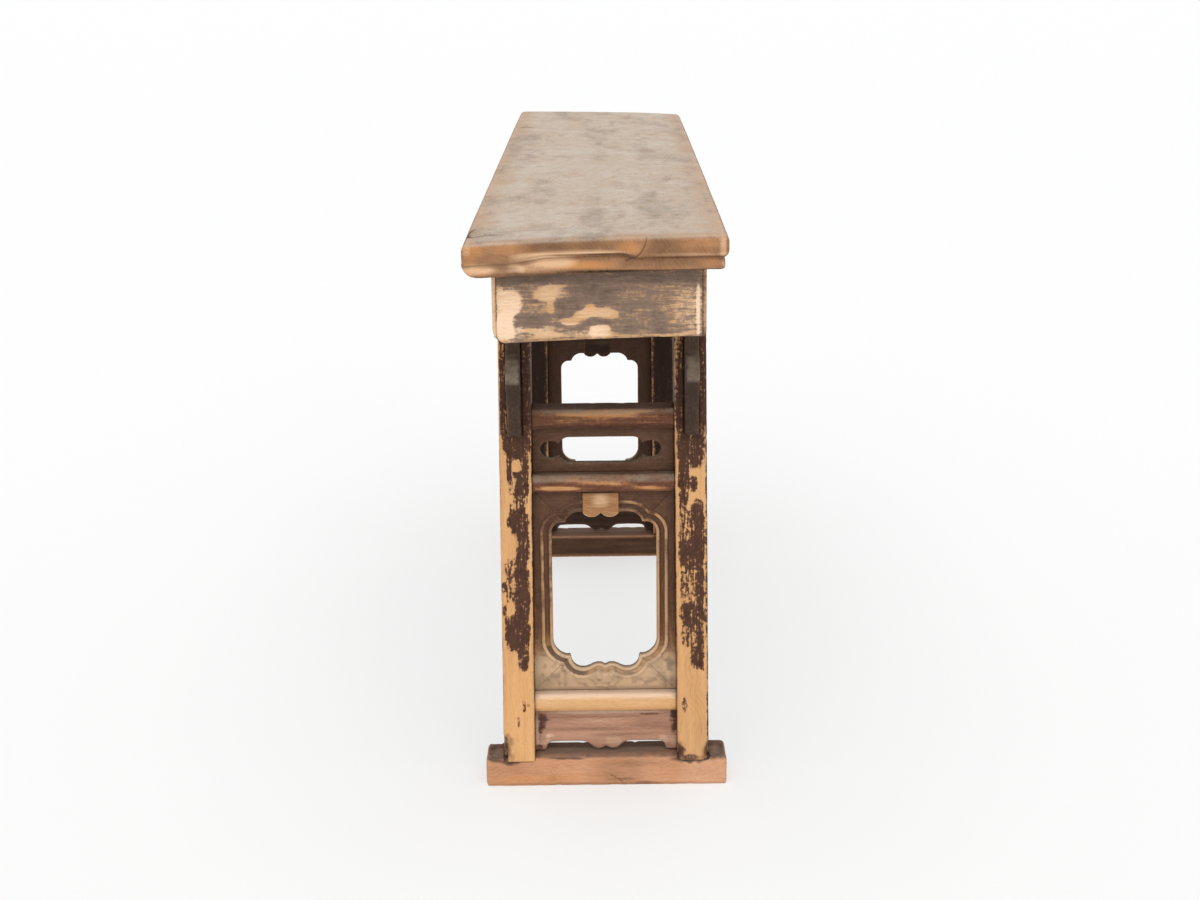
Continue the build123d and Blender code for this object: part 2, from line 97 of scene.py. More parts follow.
# %% Camera
lens = 60.3  # mm, on the usual 36 mm wide sensor
eye = Vector((3420.0, -13.8, 1252.9)) * MM
look_down = 0.25339  # radians
look_aside = 0.00329
tilt = -0.01085

forward = Vector((
    -math.cos(look_down) * math.cos(look_aside),
    math.cos(look_down) * math.sin(look_aside),
    -math.sin(look_down),
))
camera_data = bpy.data.cameras.new("camera")
camera_data.lens = lens
camera = bpy.data.objects.new("camera", camera_data)
bpy.context.collection.objects.link(camera)
aim = forward.to_track_quat("-Z", "Y").to_matrix().to_4x4()
camera.matrix_world = Matrix.Translation(eye) @ aim @ Matrix.Rotation(tilt, 4, "Z")
bpy.context.scene.camera = camera
print("the camera stands", round(eye.length, 2), "m from the middle of the table's floor")

# %% [markdown]
# ## One helper for nodes
#
# Materials are trees of nodes.  Every node needs the same three things: its settings,
# fixed values on some sockets, and links into others.  One function that takes all three,
# and hands back the output that the next node wants, keeps a recipe down to a line a node.


# %% Helper that adds a node
def add_node(tree, kind, inputs=(), out=0, **settings):
    """Adds a node and gives one of its outputs.  An input is a value or another output."""
    node = tree.nodes.new(kind)
    for name, value in settings.items():
        setattr(node, name, value)
    for socket, value in dict(inputs).items():
        if isinstance(value, bpy.types.NodeSocket):
            tree.links.new(value, node.inputs[socket])
        else:
            node.inputs[socket].default_value = value
    return node.outputs[out]


MATH = "ShaderNodeMath"
RANGE = "ShaderNodeMapRange"
print("nodes are added by", add_node.__name__)

# %% [markdown]
# ## Floor and light
#
# The table stands in a white studio.  A white room could be built round it, but its walls
# would throw coloured light and hide the other sides.  A wide floor under a white sky does
# the same work.  The floor glows a little, as a light table does, so shadows stay faint.
# One broad lamp above and one behind the camera give the wood its shape, and being suns
# they light the whole floor alike.

# %% Floor
floor_half = 60  # metres, so that its edge lies past the picture
bm = bmesh.new()
bmesh.ops.create_grid(bm, x_segments=8, y_segments=8, size=floor_half)
floor_mesh = bpy.data.meshes.new("studio_floor")
bm.to_mesh(floor_mesh)
bm.free()
floor = bpy.data.objects.new("studio_floor", floor_mesh)
bpy.context.collection.objects.link(floor)

light_table = bpy.data.materials.new("opal_acrylic")  # matt and white, lit from below
light_table.use_nodes = True
opal = light_table.node_tree.nodes["Principled BSDF"]
opal.inputs["Base Color"].default_value = linear("#bcbcba")
opal.inputs["Roughness"].default_value = 0.95
opal.inputs["Emission Color"].default_value = linear("#fbfcfd")
opal.inputs["Emission Strength"].default_value = 0.455
floor.data.materials.append(light_table)
print("the floor is", 2 * floor_half, "m wide")

# %% Sky and lamps
sky = bpy.data.worlds.new("studio_sky")
sky.use_nodes = True
sky.node_tree.nodes["Background"].inputs["Color"].default_value = linear("#fdfdff")
sky.node_tree.nodes["Background"].inputs["Strength"].default_value = 0.62
bpy.context.scene.world = sky
bpy.context.scene.view_settings.view_transform = "Standard"  # colours come out as they are set

# name: strength, angular size in degrees and where it shines from
lamps = {
    "top_softbox": (0.95, 75, (0.3, 0.0, 1.0)),
    "front_softbox": (1.0, 60, (1.0, 0.0, 0.6)),
}
for name, (strength, width, source) in lamps.items():
    lamp_data = bpy.data.lights.new(name, "SUN")
    lamp_data.energy = strength
    lamp_data.angle = math.radians(width)
    lamp = bpy.data.objects.new(name, lamp_data)
    lamp.rotation_euler = Vector(source).to_track_quat("Z", "Y").to_euler()
    bpy.context.collection.objects.link(lamp)
print("lamps:", ", ".join(lamps))

# %% [markdown]
# ## Turning CAD solids into wood that can be worn
#
# A CAD mesh is long thin triangles, which can't be dented.  Subdividing them would only
# give more thin triangles.  A voxel remesh rebuilds the same solid from even squares, a
# few millimetres wide, and eases every arris by about half a square.


# %% Even blanks from the CAD pieces
def blank_from(node, grid):
    """A closed copy of a CAD piece in even squares.  The grid is their width in millimetres."""
    bm = bmesh.new()
    bm.from_mesh(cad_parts[node].data)
    bmesh.ops.remove_doubles(bm, verts=bm.verts, dist=0.01 * MM)
    piece = bpy.data.objects.new("aged_" + node, bpy.data.meshes.new("aged_" + node))
    bm.to_mesh(piece.data)
    bm.free()
    bpy.context.collection.objects.link(piece)
    remesh = piece.modifiers.new("even squares", "REMESH")
    remesh.mode = "VOXEL"
    remesh.voxel_size = grid * MM
    depsgraph = bpy.context.evaluated_depsgraph_get()
    piece.data = bpy.data.meshes.new_from_object(piece.evaluated_get(depsgraph))
    piece.modifiers.clear()
    return piece


def refine(piece, chosen, cuts=1):
    """Divides the squares whose corners are all chosen, for finer carving there."""
    bm = bmesh.new()
    bm.from_mesh(piece.data)
    bm.verts.ensure_lookup_table()
    edges = [e for e in bm.edges if chosen[e.verts[0].index] and chosen[e.verts[1].index]]
    bmesh.ops.subdivide_edges(bm, edges=edges, cuts=cuts, use_grid_fill=True)
    bm.to_mesh(piece.data)
    bm.free()


# %% [markdown]
# Wear is worked out on all points of a piece at once, so the points go into one numpy
# array and come back as one.  Random wear has to be smooth, and the same on each run: a
# lattice of seeded random numbers, blended between its points, gives both.


# %% Points in, points out, and smooth random wear
def points_of(piece, what="co"):
    """The piece's points in millimetres, or their normals."""
    values = np.empty(3 * len(piece.data.vertices))
    piece.data.vertices.foreach_get(what, values)
    return values.reshape(-1, 3) / (MM if what == "co" else 1)


def move_points(piece, points):
    """Puts the piece's points at these places, in millimetres."""
    piece.data.vertices.foreach_set("co", (points * MM).ravel())
    piece.data.update()


def sanded(piece, rounds):
    """Sands the whole piece and gives its new points.  Flat wood stays, arrises round."""
    bm = bmesh.new()
    bm.from_mesh(piece.data)
    for _ in range(rounds):
        bmesh.ops.smooth_vert(
            bm, verts=bm.verts, factor=0.5, use_axis_x=True, use_axis_y=True, use_axis_z=True
        )
    bm.to_mesh(piece.data)
    bm.free()
    return points_of(piece)


def drift(points, size, seed):
    """Random values from -1 to 1 that wander smoothly over this many millimetres."""
    count = 32
    lattice = np.random.default_rng(seed).uniform(-1, 1, (count, count, count))
    place = points / size
    cell = np.floor(place).astype(int)
    share = place - cell
    share = share * share * (3 - 2 * share)
    total = np.zeros(len(points))
    for corner in np.ndindex(2, 2, 2):
        weight = np.prod(np.where(corner, share, 1 - share), axis=1)
        total += weight * lattice[tuple(((cell + corner) % count).T)]
    return total


def soft_step(value, low, high):
    """0 up to low, 1 from high on, and a smooth rise between them."""
    share = np.clip((value - low) / (high - low), 0, 1)
    return share * share * (3 - 2 * share)


def blend(first, second, share):
    """first where share is 0, second where it is 1."""
    return first + (second - first) * share


print("drift over 50 mm:", np.round(drift(np.array([[0, 0, 0], [10, 0, 0], [50, 0, 0]]), 50, 1), 2))

# %% [markdown]
# ## What lies near
#
# Corners get painted shade, and the grime that no cloth reaches.  Ray casting could
# find them, but a cheaper test does as well: lift a point off its surface, and ask how near
# the closest wood is.  On open wood it is as far as the lift; in a corner it is nearer.
# Where two pieces touch, nothing can wear either of them, and that is a question of distance too.


# %% Corners and joints
def tree_of(nodes):
    """The faces of these CAD pieces, ready to be asked which one is nearest."""
    bm = bmesh.new()
    for node in nodes:
        bm.from_mesh(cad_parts[node].data)
    tree = BVHTree.FromBMesh(bm)
    bm.free()
    return tree


all_wood = tree_of(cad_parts)


def crowding(points, normals, lift):
    """0 on open wood, towards 1 deep in a corner, as felt this far off the surface."""
    lifted = (points + normals * lift) * MM
    gaps = np.array([all_wood.find_nearest(place)[3] for place in lifted])
    return np.clip(1 - gaps / (lift * MM), 0, 1)


def gap_to_others(node, points):
    """How far each point is from the CAD pieces next to this one, in millimetres."""
    low, high = (np.array(corner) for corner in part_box(node))
    near = []
    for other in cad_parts:
        other_low, other_high = (np.array(corner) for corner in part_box(other))
        if other != node and (other_low < high + 3 * MM).all() and (low < other_high + 3 * MM).all():
            near.append(other)
    tree = tree_of(near)
    return np.array([tree.find_nearest(place)[3] for place in points * MM]) / MM


def back_on_cad(node, points, reach):
    """The points, put back on the CAD piece's faces, and on its sharp edges within this reach."""
    tree = tree_of([node])
    restored = np.array([tree.find_nearest(place * MM)[0] for place in points]).reshape(-1, 3) / MM
    bm = bmesh.new()
    bm.from_mesh(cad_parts[node].data)
    sharp = [edge for edge in bm.edges if edge.calc_face_angle(0) > 0.6]
    ends = np.array([[vert.co[:] for vert in edge.verts] for edge in sharp]) / MM
    bm.free()
    nearest = np.full(len(points), float(reach))
    snapped = restored.copy()
    for start, end in ends:
        run = end - start
        share = np.clip((restored - start) @ run / (run @ run), 0, 1)
        on_edge = start + share[:, None] * run
        away = np.linalg.norm(restored - on_edge, axis=1)
        closer = away < nearest
        snapped[closer] = on_edge[closer]
        nearest = np.minimum(nearest, away)
    return snapped


print("wood nearest the eye is", round(all_wood.find_nearest(eye)[3], 2), "m away")

# %% [markdown]
# ## How the whole table has moved
#
# The plank has twisted with age: at each end one corner has dropped, at the near end the
# front one, at the far end the back one.  It has also crept round a little on its legs.
# The aprons and leg tops have followed the twist, and the feet have not.

# %% Twist of the table and turn of the plank
table_top = cad_box[1][2] / MM
half_length = cad_box[1][0] / MM
half_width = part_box("top_plank")[1][1] / MM
leg_face = 604  # mm from the middle of the table to the end faces of the legs
corner_drop = 9  # mm, at the two low corners
still_below = 560  # mm above the floor
creep = 9  # mm sideways at each end of the plank
apron_creep = 4.5  # mm sideways at each end of the aprons, which are held by the legs


def twisted(points):
    """The points of any piece after the table has twisted."""
    along, across, up = points.T
    share = np.clip((along / half_length) * (across / half_width), -1, 1)
    dropped = points.copy()
    dropped[:, 2] -= corner_drop * ((1 - share) / 2) ** 2 * soft_step(up, still_below, table_top - 120)
    return dropped


def plank_crept(points):
    """The plank's points after it has turned on its legs."""
    moved = points.copy()
    moved[:, 1] -= creep * points[:, 0] / half_length
    return moved


def apron_crept(points):
    """The aprons' points, which have followed the plank only outside the legs."""
    moved = points.copy()
    moved[:, 1] -= apron_creep * np.sign(points[:, 0]) * soft_step(abs(points[:, 0]), leg_face, half_length)
    return moved


print("the low corners drop", corner_drop, "mm and the plank's ends creep", creep, "mm")

# %% [markdown]
# ## Wearing a piece down
#
# Old wood is never flat or sharp.  Each piece gets the same treatment, in the order in
# which it happened: the plane left slow waves, hands and cloths rounded the arrises more
# in some places than in others, knocks left dents, and arrises chipped.  All of this takes
# wood away, and none of it happens inside a joint.  What a piece needs beyond it, such as
# a carving or a lost corner, is a function of its own that wear_down calls as carve.

# %% Wear
aged = {}  # CAD node name: the aged piece that stands for it
UNDER_FLOOR_WEAR = 1.5  # mm; the faces on the floor stay flat up to this height
STILL, OPEN = 1.2, 5  # mm from the next piece: no wear up to the first, full wear from the second
ROOM_BETWEEN_ENDS = 520  # mm from the middle; end pieces beyond this have a hidden inner face


def wear_down(node, piece, wave=0.5, rounding=9, dents=1.2, chips=2.0, notches=(), carve=None):
    """Ages a blank and gives its old points, its normals, and the marks of use and painted shade on each
    point.

    Notches are places of rot: middle, half sizes and depth.
    """
    seed = 10 * len(aged)
    new = points_of(piece)
    eased = sanded(piece, 1)
    rounded = sanded(piece, rounding)
    normals = points_of(piece, "normal")
    arris = np.clip(((eased - rounded) * normals).sum(axis=1) / 0.7, 0, 1)
    free = soft_step(gap_to_others(node, new), STILL, OPEN)
    handled = np.clip(0.5 + 0.8 * drift(new, 60, seed), 0.1, 1)
    worn = blend(eased, rounded, handled[:, None])
    joint = free < 1
    points = worn.copy()
    square = np.sqrt(piece.data.polygons[0].area) / MM
    points[joint] = blend(back_on_cad(node, new[joint], 0.6 * square), worn[joint], free[joint, None])
    loss = wave * (1 + drift(new, (220, 90, 220), seed + 1)) / 2
    loss += dents * np.clip(drift(new, 15, seed + 2) - 0.5, 0, 1)
    loss += chips * arris * np.clip(drift(new, 9, seed + 3) - 0.25, 0, 1)
    loss *= free
    rot = np.zeros(len(points))
    for middle, half, depth in notches:
        reach = np.linalg.norm((new - middle) / half, axis=1) + 0.35 * drift(new, 7, seed + 4)
        bite = soft_step(-reach, -1, -0.25)
        loss += depth * bite * (1 + 0.4 * drift(new, 5, seed + 5))
        rot = np.maximum(rot, soft_step(-reach, -1.25, -0.6))
    points -= normals * loss[:, None]
    if carve:
        points = carve(new, points)
    on_floor = new[:, 2] < UNDER_FLOOR_WEAR
    points[on_floor, 2] = new[on_floor, 2]
    move_points(piece, points)
    for face in piece.data.polygons:
        face.use_smooth = True
    # painted shade in corners and in creases within and between pieces, together with their grime
    corners = 0.55 * soft_step(crowding(new, normals, 14), 0.1, 0.9)
    seams = 0.4 * soft_step(crowding(new, normals, 4), 0.2, 0.8)
    # painted shade on the faces turned inwards at the ends, under the plank
    inward = soft_step(-normals[:, 0] * np.sign(new[:, 0]), 0.4, 0.8) * (abs(new[:, 0]) > ROOM_BETWEEN_ENDS)
    marks = {"arris": arris * free, "dirt_and_shade": np.maximum(corners, seams), "rot": rot}
    marks["inside_shade"] = inward * (1 - 0.45 * arris * free)
    return new, normals, marks


def turned(points, sign):
    """The points of the left end as seen at the right end, for the lists placed there."""
    return points * (1, sign, 1)


def at_end(places, sign):
    """Notches of the right end, turned round for the left end where the sign is -1."""
    return [((x * sign, y * sign, z), half, depth) for (x, y, z), half, depth in places]


def darken(marks, dirt_and_shade):
    """Adds darkening to the marks, real stains and painted shade alike, where there is less so far."""
    marks["dirt_and_shade"] = np.maximum(marks["dirt_and_shade"], dirt_and_shade)


def finish_piece(piece, node, slot, marks, **painted):
    """Stores the marks for the material, twists the piece and puts it in its CAD piece's place."""
    for name, numbers in {**marks, **painted}.items():
        attribute = piece.data.attributes.new(name, "FLOAT", "POINT")
        attribute.data.foreach_set("value", np.clip(numbers, 0, 1).astype(np.float32))
    move_points(piece, twisted(points_of(piece)))
    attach(piece, "root")
    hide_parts(node)
    aged[node] = piece


print("faces lower than", UNDER_FLOOR_WEAR, "mm stay flat on the floor")

# %% [markdown]
# ## Curved outlines
#
# The carved edges of this table are arcs that leave one point in a known direction and
# meet the next.  On paper that takes a compass.  With points as complex numbers, across
# plus up times j, it takes one line: the chord to each point of an arc turns evenly.


# %% Arcs and the distance from a line
def arc(start, towards, end, steps=7):
    """Points of the arc that leaves start in this direction and ends at end."""
    chord = end - start
    turn = cmath.phase(chord / towards)
    shares = [step / steps for step in range(steps + 1)]
    return [start + chord * cmath.rect(math.sin(turn * t) / math.sin(turn), turn * (t - 1)) for t in shares]


def distance_from(path, spots):
    """How far each spot is from a path of straight runs, all as complex numbers."""
    nearest = np.full(len(spots), np.inf)
    for start, end in zip(path, path[1:]):
        run = end - start
        if abs(run) > 0:
            share = np.clip(((spots - start) * run.conjugate()).real / abs(run) ** 2, 0, 1)
            nearest = np.minimum(nearest, np.abs(spots - start - share * run))
    return nearest


def spots(points):
    """The points as seen from the table's end, as complex numbers."""
    return points[:, 1] + 1j * points[:, 2]


print("quarter arc:", [complex(round(p.real, 2), round(p.imag, 2)) for p in arc(0j, 1, 1 + 1j, 3)])

# %% [markdown]
# ## What is left of the lacquer
#
# The table was once lacquered all over.  What is left of it is a layer over bare wood, in
# patches whose edges follow the grain.  The material draws the ragged edges, but where
# the patches lie is a matter of history.  It is painted here as a soft value on each
# point, from 0 for bare wood to 1 for sound lacquer, with patches listed for one
# end of the table.  The other end gets them turned round.


# %% Painting with soft patches
def daub(points, patches, fade=0.3):
    """Adds up soft patches on a face: middle and half size, across and up, and strength."""
    total = np.zeros(len(points))
    for across, up, half_across, half_up, strength in patches:
        reach = abs((points[:, 1] - across) / half_across) ** 3 + abs((points[:, 2] - up) / half_up) ** 3
        total += strength * soft_step(-np.cbrt(reach), -1 - fade, -1 + fade)
    return total


print("a patch is strong in its middle:", daub(np.array([[0, 0, 0], [0, 9, 0]]), [(0, 0, 8, 8, 1)]).round(2))

# %% [markdown]
# ## The top plank
#
# The top is one thick board.  Its edge is moulded in two bands: a wide one with a soft
# belly, and under it a narrower one that stands back.  A bevel modifier can't make a
# moulding, so the plank starts as a fine grid for its face, whose rim is extruded down
# the moulding one ring at a time, and a second grid closes it below.  This leaves the
# squares in another order on each run, so they are sorted, and each run gives one plank.

# %% The plank's moulding
grid = 5  # mm between points on the plank's face
under = 835  # height of the plank's underside
flat_inset = 9.0  # the moulding starts this far in from the plank's edge
# outset from the plank's edge, and height, as a complex number
moulding = arc(-flat_inset + table_top * 1j, 1, 872j, 6)
moulding += [869j, 866j, 863j]
moulding += arc(860j, -1j, -5.6 + 851.6j, 5)
moulding += [-6.8 + 850.6j, -5.9 + 849.6j, -5 + 848j, -5 + 845j, -5 + 842j]
moulding += arc(-5 + 840j, -1j, -9 + under * 1j, 4)

bm = bmesh.new()
face_half = Vector((half_length - flat_inset, half_width - flat_inset))
columns, rows = (round(2 * half / grid) for half in face_half)
bmesh.ops.create_grid(bm, x_segments=columns, y_segments=rows, size=1)
bmesh.ops.scale(bm, verts=bm.verts, vec=(face_half.x, face_half.y, 1))
bmesh.ops.translate(bm, verts=bm.verts, vec=(0, 0, table_top))
ring = [edge for edge in bm.edges if edge.is_boundary]
ring_half = face_half
for point in moulding[1:]:
    made = bmesh.ops.extrude_edge_only(bm, edges=ring)["geom"]
    ring = [item for item in made if isinstance(item, bmesh.types.BMEdge)]
    ring_verts = [item for item in made if isinstance(item, bmesh.types.BMVert)]
    new_half = Vector((half_length + point.real, half_width + point.real))
    bmesh.ops.scale(bm, verts=ring_verts, vec=(new_half.x / ring_half.x, new_half.y / ring_half.y, 1))
    for vert in ring_verts:
        vert.co.z = point.imag
    ring_half = new_half
below = bmesh.ops.create_grid(bm, x_segments=columns, y_segments=rows, size=1)["verts"]
bmesh.ops.scale(bm, verts=below, vec=(ring_half.x, ring_half.y, 1))
bmesh.ops.translate(bm, verts=below, vec=(0, 0, under))
bmesh.ops.reverse_faces(bm, faces=list({face for vert in below for face in vert.link_faces}))
bmesh.ops.remove_doubles(bm, verts=bm.verts, dist=0.05)
bmesh.ops.recalc_face_normals(bm, faces=bm.faces)
bmesh.ops.scale(bm, verts=bm.verts, vec=(MM, MM, MM))

plank = bpy.data.objects.new("aged_top_plank", bpy.data.meshes.new("aged_top_plank"))
bm.to_mesh(plank.data)
bm.free()
bpy.context.collection.objects.link(plank)

corners = [tuple(face.vertices) for face in plank.data.polygons]
first_corners = [face.index(min(face)) for face in corners]
in_order = sorted(face[at:] + face[:at] for face, at in zip(corners, first_corners))
places = [vertex.co[:] for vertex in plank.data.vertices]
plank.data.clear_geometry()
plank.data.from_pydata(places, [], in_order)
print("the plank has", len(plank.data.polygons), "squares in", len(moulding), "rings")

# %% [markdown]
# The near end has a shake: a curved crack in the end grain where the board dried.  Left
# of it the step of the moulding has worn upwards.  A knot near the front corner has
# shrunk and split, and there is a smaller one far away.  These are too fine for the
# grid, so it is refined where they are.

# %% Shake and knots
shake = arc(56 + 878j, -0.1 - 1j, 30 + 846j, 8)  # on the near end, across and up
knots = [  # on the top, along and across: a wide open split, and a small one
    [783 - 169j, 796 - 173j, 816 - 176j, 838 - 173j, 848 - 167j, 842 - 158j, 833 - 149j, 836 - 141j],
    arc(-552 - 145j, 1, -551 - 129j, 4),
]
top_marks = [  # stains and scratches on the top
    arc(-680 + 42j, -0.1 + 1j, -501 + 75j, 6), [672 - 64j, 670 + 30j], [818 - 112j, 808 - 28j],
    [101 + 67j, 106 + 115j], [55 - 122j, 66 - 118j], [98 - 97j, 110 - 96j], [404 + 26j, 415 + 33j],
]


def settled(points):
    """The plank's points as they lie now."""
    return twisted(plank_crept(points))


def shake_gap(points):
    """How far each point of the near end is from the shake."""
    return np.where(points[:, 0] > half_length - 12, distance_from(shake, spots(settled(points))), 99)


def top_gap(points, lines):
    """How far each point of the plank's face is from the nearest of these lines."""
    now = settled(points)
    gaps = [distance_from(line, now[:, 0] + 1j * now[:, 1]) for line in lines]
    return np.where(points[:, 2] > table_top - 3, np.minimum.reduce(gaps), 99)


points = points_of(plank)
refine(plank, points[:, 0] > half_length - 7)
for reach in (10, 5):
    points = points_of(plank)
    refine(plank, (shake_gap(points) < reach) | (top_gap(points, knots) < reach))
print("the plank now has", len(plank.data.polygons), "squares")

# %% [markdown]
# The corners are worn too.  The lower one at the front of the near end has gone quite
# round, so it is pulled in to an arc.  The step between the two bands of the moulding has
# worn away there as well.  The face moves out to where the wide band stands, so this is
# the one place where the plank is fuller than its moulding, though it stays in its box.

# %% Shaping the plank
plan_radius = 14  # mm, of the corners as seen from above
front_radius = 26  # mm, of the lower front corner of the near end
fill_low, fill_high = 841, 862  # mm above the floor, between them the moulding's step is filled
step_lift = 4.5  # mm, how far the step has worn upwards left of the shake
crack_depth, knot_depth = 1.2, 2.6  # mm
heights, outsets = (np.array([getattr(point, part) for point in moulding[::-1]]) for part in ("imag", "real"))


def pull_to_arc(out, radius):
    """Offsets from the middle of a rounded corner, none of them longer than the radius."""
    outside = (out > 0).all(axis=1) & (np.linalg.norm(out, axis=1) > radius)
    length = np.maximum(np.linalg.norm(out, axis=1), 1e-6)
    return np.where(outside[:, None], out * (radius / length)[:, None], out)


def shape_plank(new, points):
    """Rounds the plank's corners, lifts the worn step and opens the cracks."""
    for turn in np.array([(1, 1), (1, -1), (-1, 1), (-1, -1)]):
        middle = np.array([half_length - plan_radius, half_width - plan_radius])
        points[:, :2] = turn * (middle + pull_to_arc(turn * points[:, :2] - middle, plan_radius))
    near = soft_step(new[:, 0], half_length - 14, half_length - 6)
    filled = soft_step(new[:, 2], fill_low - 5, fill_low) * (new[:, 2] < fill_high)
    step = -np.interp(new[:, 2], heights, outsets) * filled
    fading = soft_step(new[:, 0], half_length - 150, half_length - 30)
    points[:, 1] -= step * fading * soft_step(-new[:, 1], half_width - 12, half_width - 8)
    points[:, 0] += step * near * soft_step(-new[:, 1], half_width - 28, half_width - 6)
    corner = np.array([half_width - front_radius, -under - front_radius])
    out = -points[:, 1:] - corner
    rounded = -(corner + pull_to_arc(out, front_radius))
    points[:, 1:] = blend(points[:, 1:], rounded, fading[:, None])
    worn_part = soft_step(new[:, 1], -100, -60) * soft_step(-new[:, 1], -58, -30)
    band = soft_step(new[:, 2], 843, 850) * soft_step(-new[:, 2], -866, -856)
    points[:, 2] += step_lift * near * worn_part * band
    points[:, 0] -= crack_depth * np.exp(-((shake_gap(new) / 0.9) ** 2))
    points[:, 2] -= knot_depth * np.exp(-((top_gap(new, knots) / 2.4) ** 2))
    return points


print("the front corner's arc is", front_radius, "mm")

# %% Wearing the plank
front, back = -half_width, half_width
plank_notches = [
    ((half_length, -100, 840), (7, 12, 6), 2.5),
    ((half_length, 160, 850), (8, 12, 4), 2),
    ((-half_length, back, 838), (30, 34, 14), 5),
    ((250, front, 850), (45, 9, 7), 2.5),
    ((-420, back, 848), (60, 9, 7), 2.5),
]
new, normals, marks = wear_down(
    "top_plank", plank, wave=0.9, rounding=4, dents=1.0, chips=1.6, notches=plank_notches, carve=shape_plank
)
now = settled(new)
near_face = soft_step(new[:, 0], half_length - 12, half_length - 4)
marks["rot"] *= 1 - 0.7 * near_face
# pale, bleached wood on the end grain; the patches along the moulding's step and at its right end are a
# painted highlight
pale = near_face * daub(now, [
    (-92, 855, 26, 5, 0.6), (-28, 858.5, 54, 5.5, 0.6), (-20, 856, 44, 2, 0.35), (105, 856, 52, 2.6, 0.45),
    (154, 866, 6, 12, 0.7), (155, 845, 6, 7, 0.5), (-174, 864, 9, 9, 0.5), (-112, 841, 7, 5, 0.5),
    (-104, 838, 6, 5, 0.4),
    (-60, 846.5, 26, 5, 0.8), (-157, 838, 18, 7, 0.7), (-100, 842, 60, 7, 0.5), (-130, 874, 34, 5, 0.3),
    (60, 876, 110, 2.5, 0.3),
], 0.6)
ochre = near_face * daub(now, [
    (33, 864, 18, 10, 0.55), (121, 868, 36, 10, 0.35), (-29, 842, 46, 3.5, 0.7), (-115, 866, 34, 10, 0.4),
    (-168, 862, 16, 14, 0.5), (-157, 838, 20, 8, 0.6), (136, 846, 18, 7, 0.4), (-60, 846, 22, 6, 0.3),
], 0.6)
low_face = soft_step(new[:, 0], half_length - 17, half_length - 9)
# dark smears in the end grain, and painted shadow under the moulding's step and along the plank's lower edge
end_stains_and_shadows = low_face * daub(now, [
    (-38, 870, 54, 8, 0.38), (78, 866, 24, 13, 0.42), (-80, 868, 28, 9, 0.2), (12, 851.5, 25, 3, 0.35),
    (74, 846, 50, 6, 0.3), (-133, 844, 24, 4, 0.35), (130, 862, 24, 4, 0.2), (-150, 854, 24, 5, 0.15),
    (-50, 852.5, 44, 1.4, 0.35), (8, 853, 34, 1.4, 0.4), (-121, 839, 14, 2.6, 0.4), (110, 852, 52, 1.4, 0.4),
    (9, 834.5, 60, 2.4, 1.0), (-90, 832, 50, 1.8, 0.5),
], 0.6)
marks["dirt_and_shade"] *= 1 - near_face * np.maximum(0.6, soft_step(-now[:, 1], 132, 158))
darken(marks, end_stains_and_shadows)
opened, knotty = (np.exp(-((top_gap(new, knots) / reach) ** 2)) for reach in (3.6, 14))
split = np.maximum(0.6 * np.exp(-((shake_gap(new) / 1.1) ** 2)), 0.8 * opened)
on_top = soft_step(normals[:, 2], 0.6, 0.95)
clouds = soft_step(drift(new, (170, 40, 40), 41) + 0.5 * drift(new, (60, 16, 40), 42), 0.0, 1.2)
dashes = 0.6 * soft_step(drift(new, (38, 12, 40), 45) + 0.6 * drift(new, (200, 70, 40), 46), 0.45, 1.25)
dashes = np.maximum(dashes, 0.7 * np.exp(-((top_gap(new, top_marks) / 4.5) ** 2)))
coat = on_top * (0.25 + 0.3 * clouds + 0.4 * dashes + 0.15 * knotty)
pale = np.maximum(pale, 0.6 * on_top)
end_strip = soft_step(new[:, 0], half_length - 44, half_length - 18)
side_strip = soft_step(abs(new[:, 1]), half_width - 50, half_width - 8)
wiped = np.maximum(0.6 * end_strip, 0.45 * side_strip * (1 + 0.6 * drift(new, 60, 43)))
wiped = np.maximum.reduce([wiped, 0.25 * clouds, 0.35 * dashes, opened, 0.4 * knotty])
# painted shade on the plank's underside
underside_shade = soft_step(-normals[:, 2], 0.5, 0.9)
darken(marks, 0.6 * underside_shade)
move_points(plank, plank_crept(points_of(plank)))
finish_piece(plank, "top_plank", "plank", marks, coat=coat, pale=pale, ochre=ochre, split=split, wiped=wiped)
in_cracks = [int((gap < 1.5).sum()) for gap in (shake_gap(new), top_gap(new, knots))]
print("points in the shake and in the knots:", in_cracks)

# %% [markdown]
# ## Aprons
#
# The long aprons run under the plank through the leg tops, and the end aprons close
# them.  The near end apron has lost the corner at its front, and the end of the front long
# apron, which shows beside it, is rounded to match.  The end apron is patchy: grey lacquer
# along its top and its right, pale wood below and in a tongue across its middle.

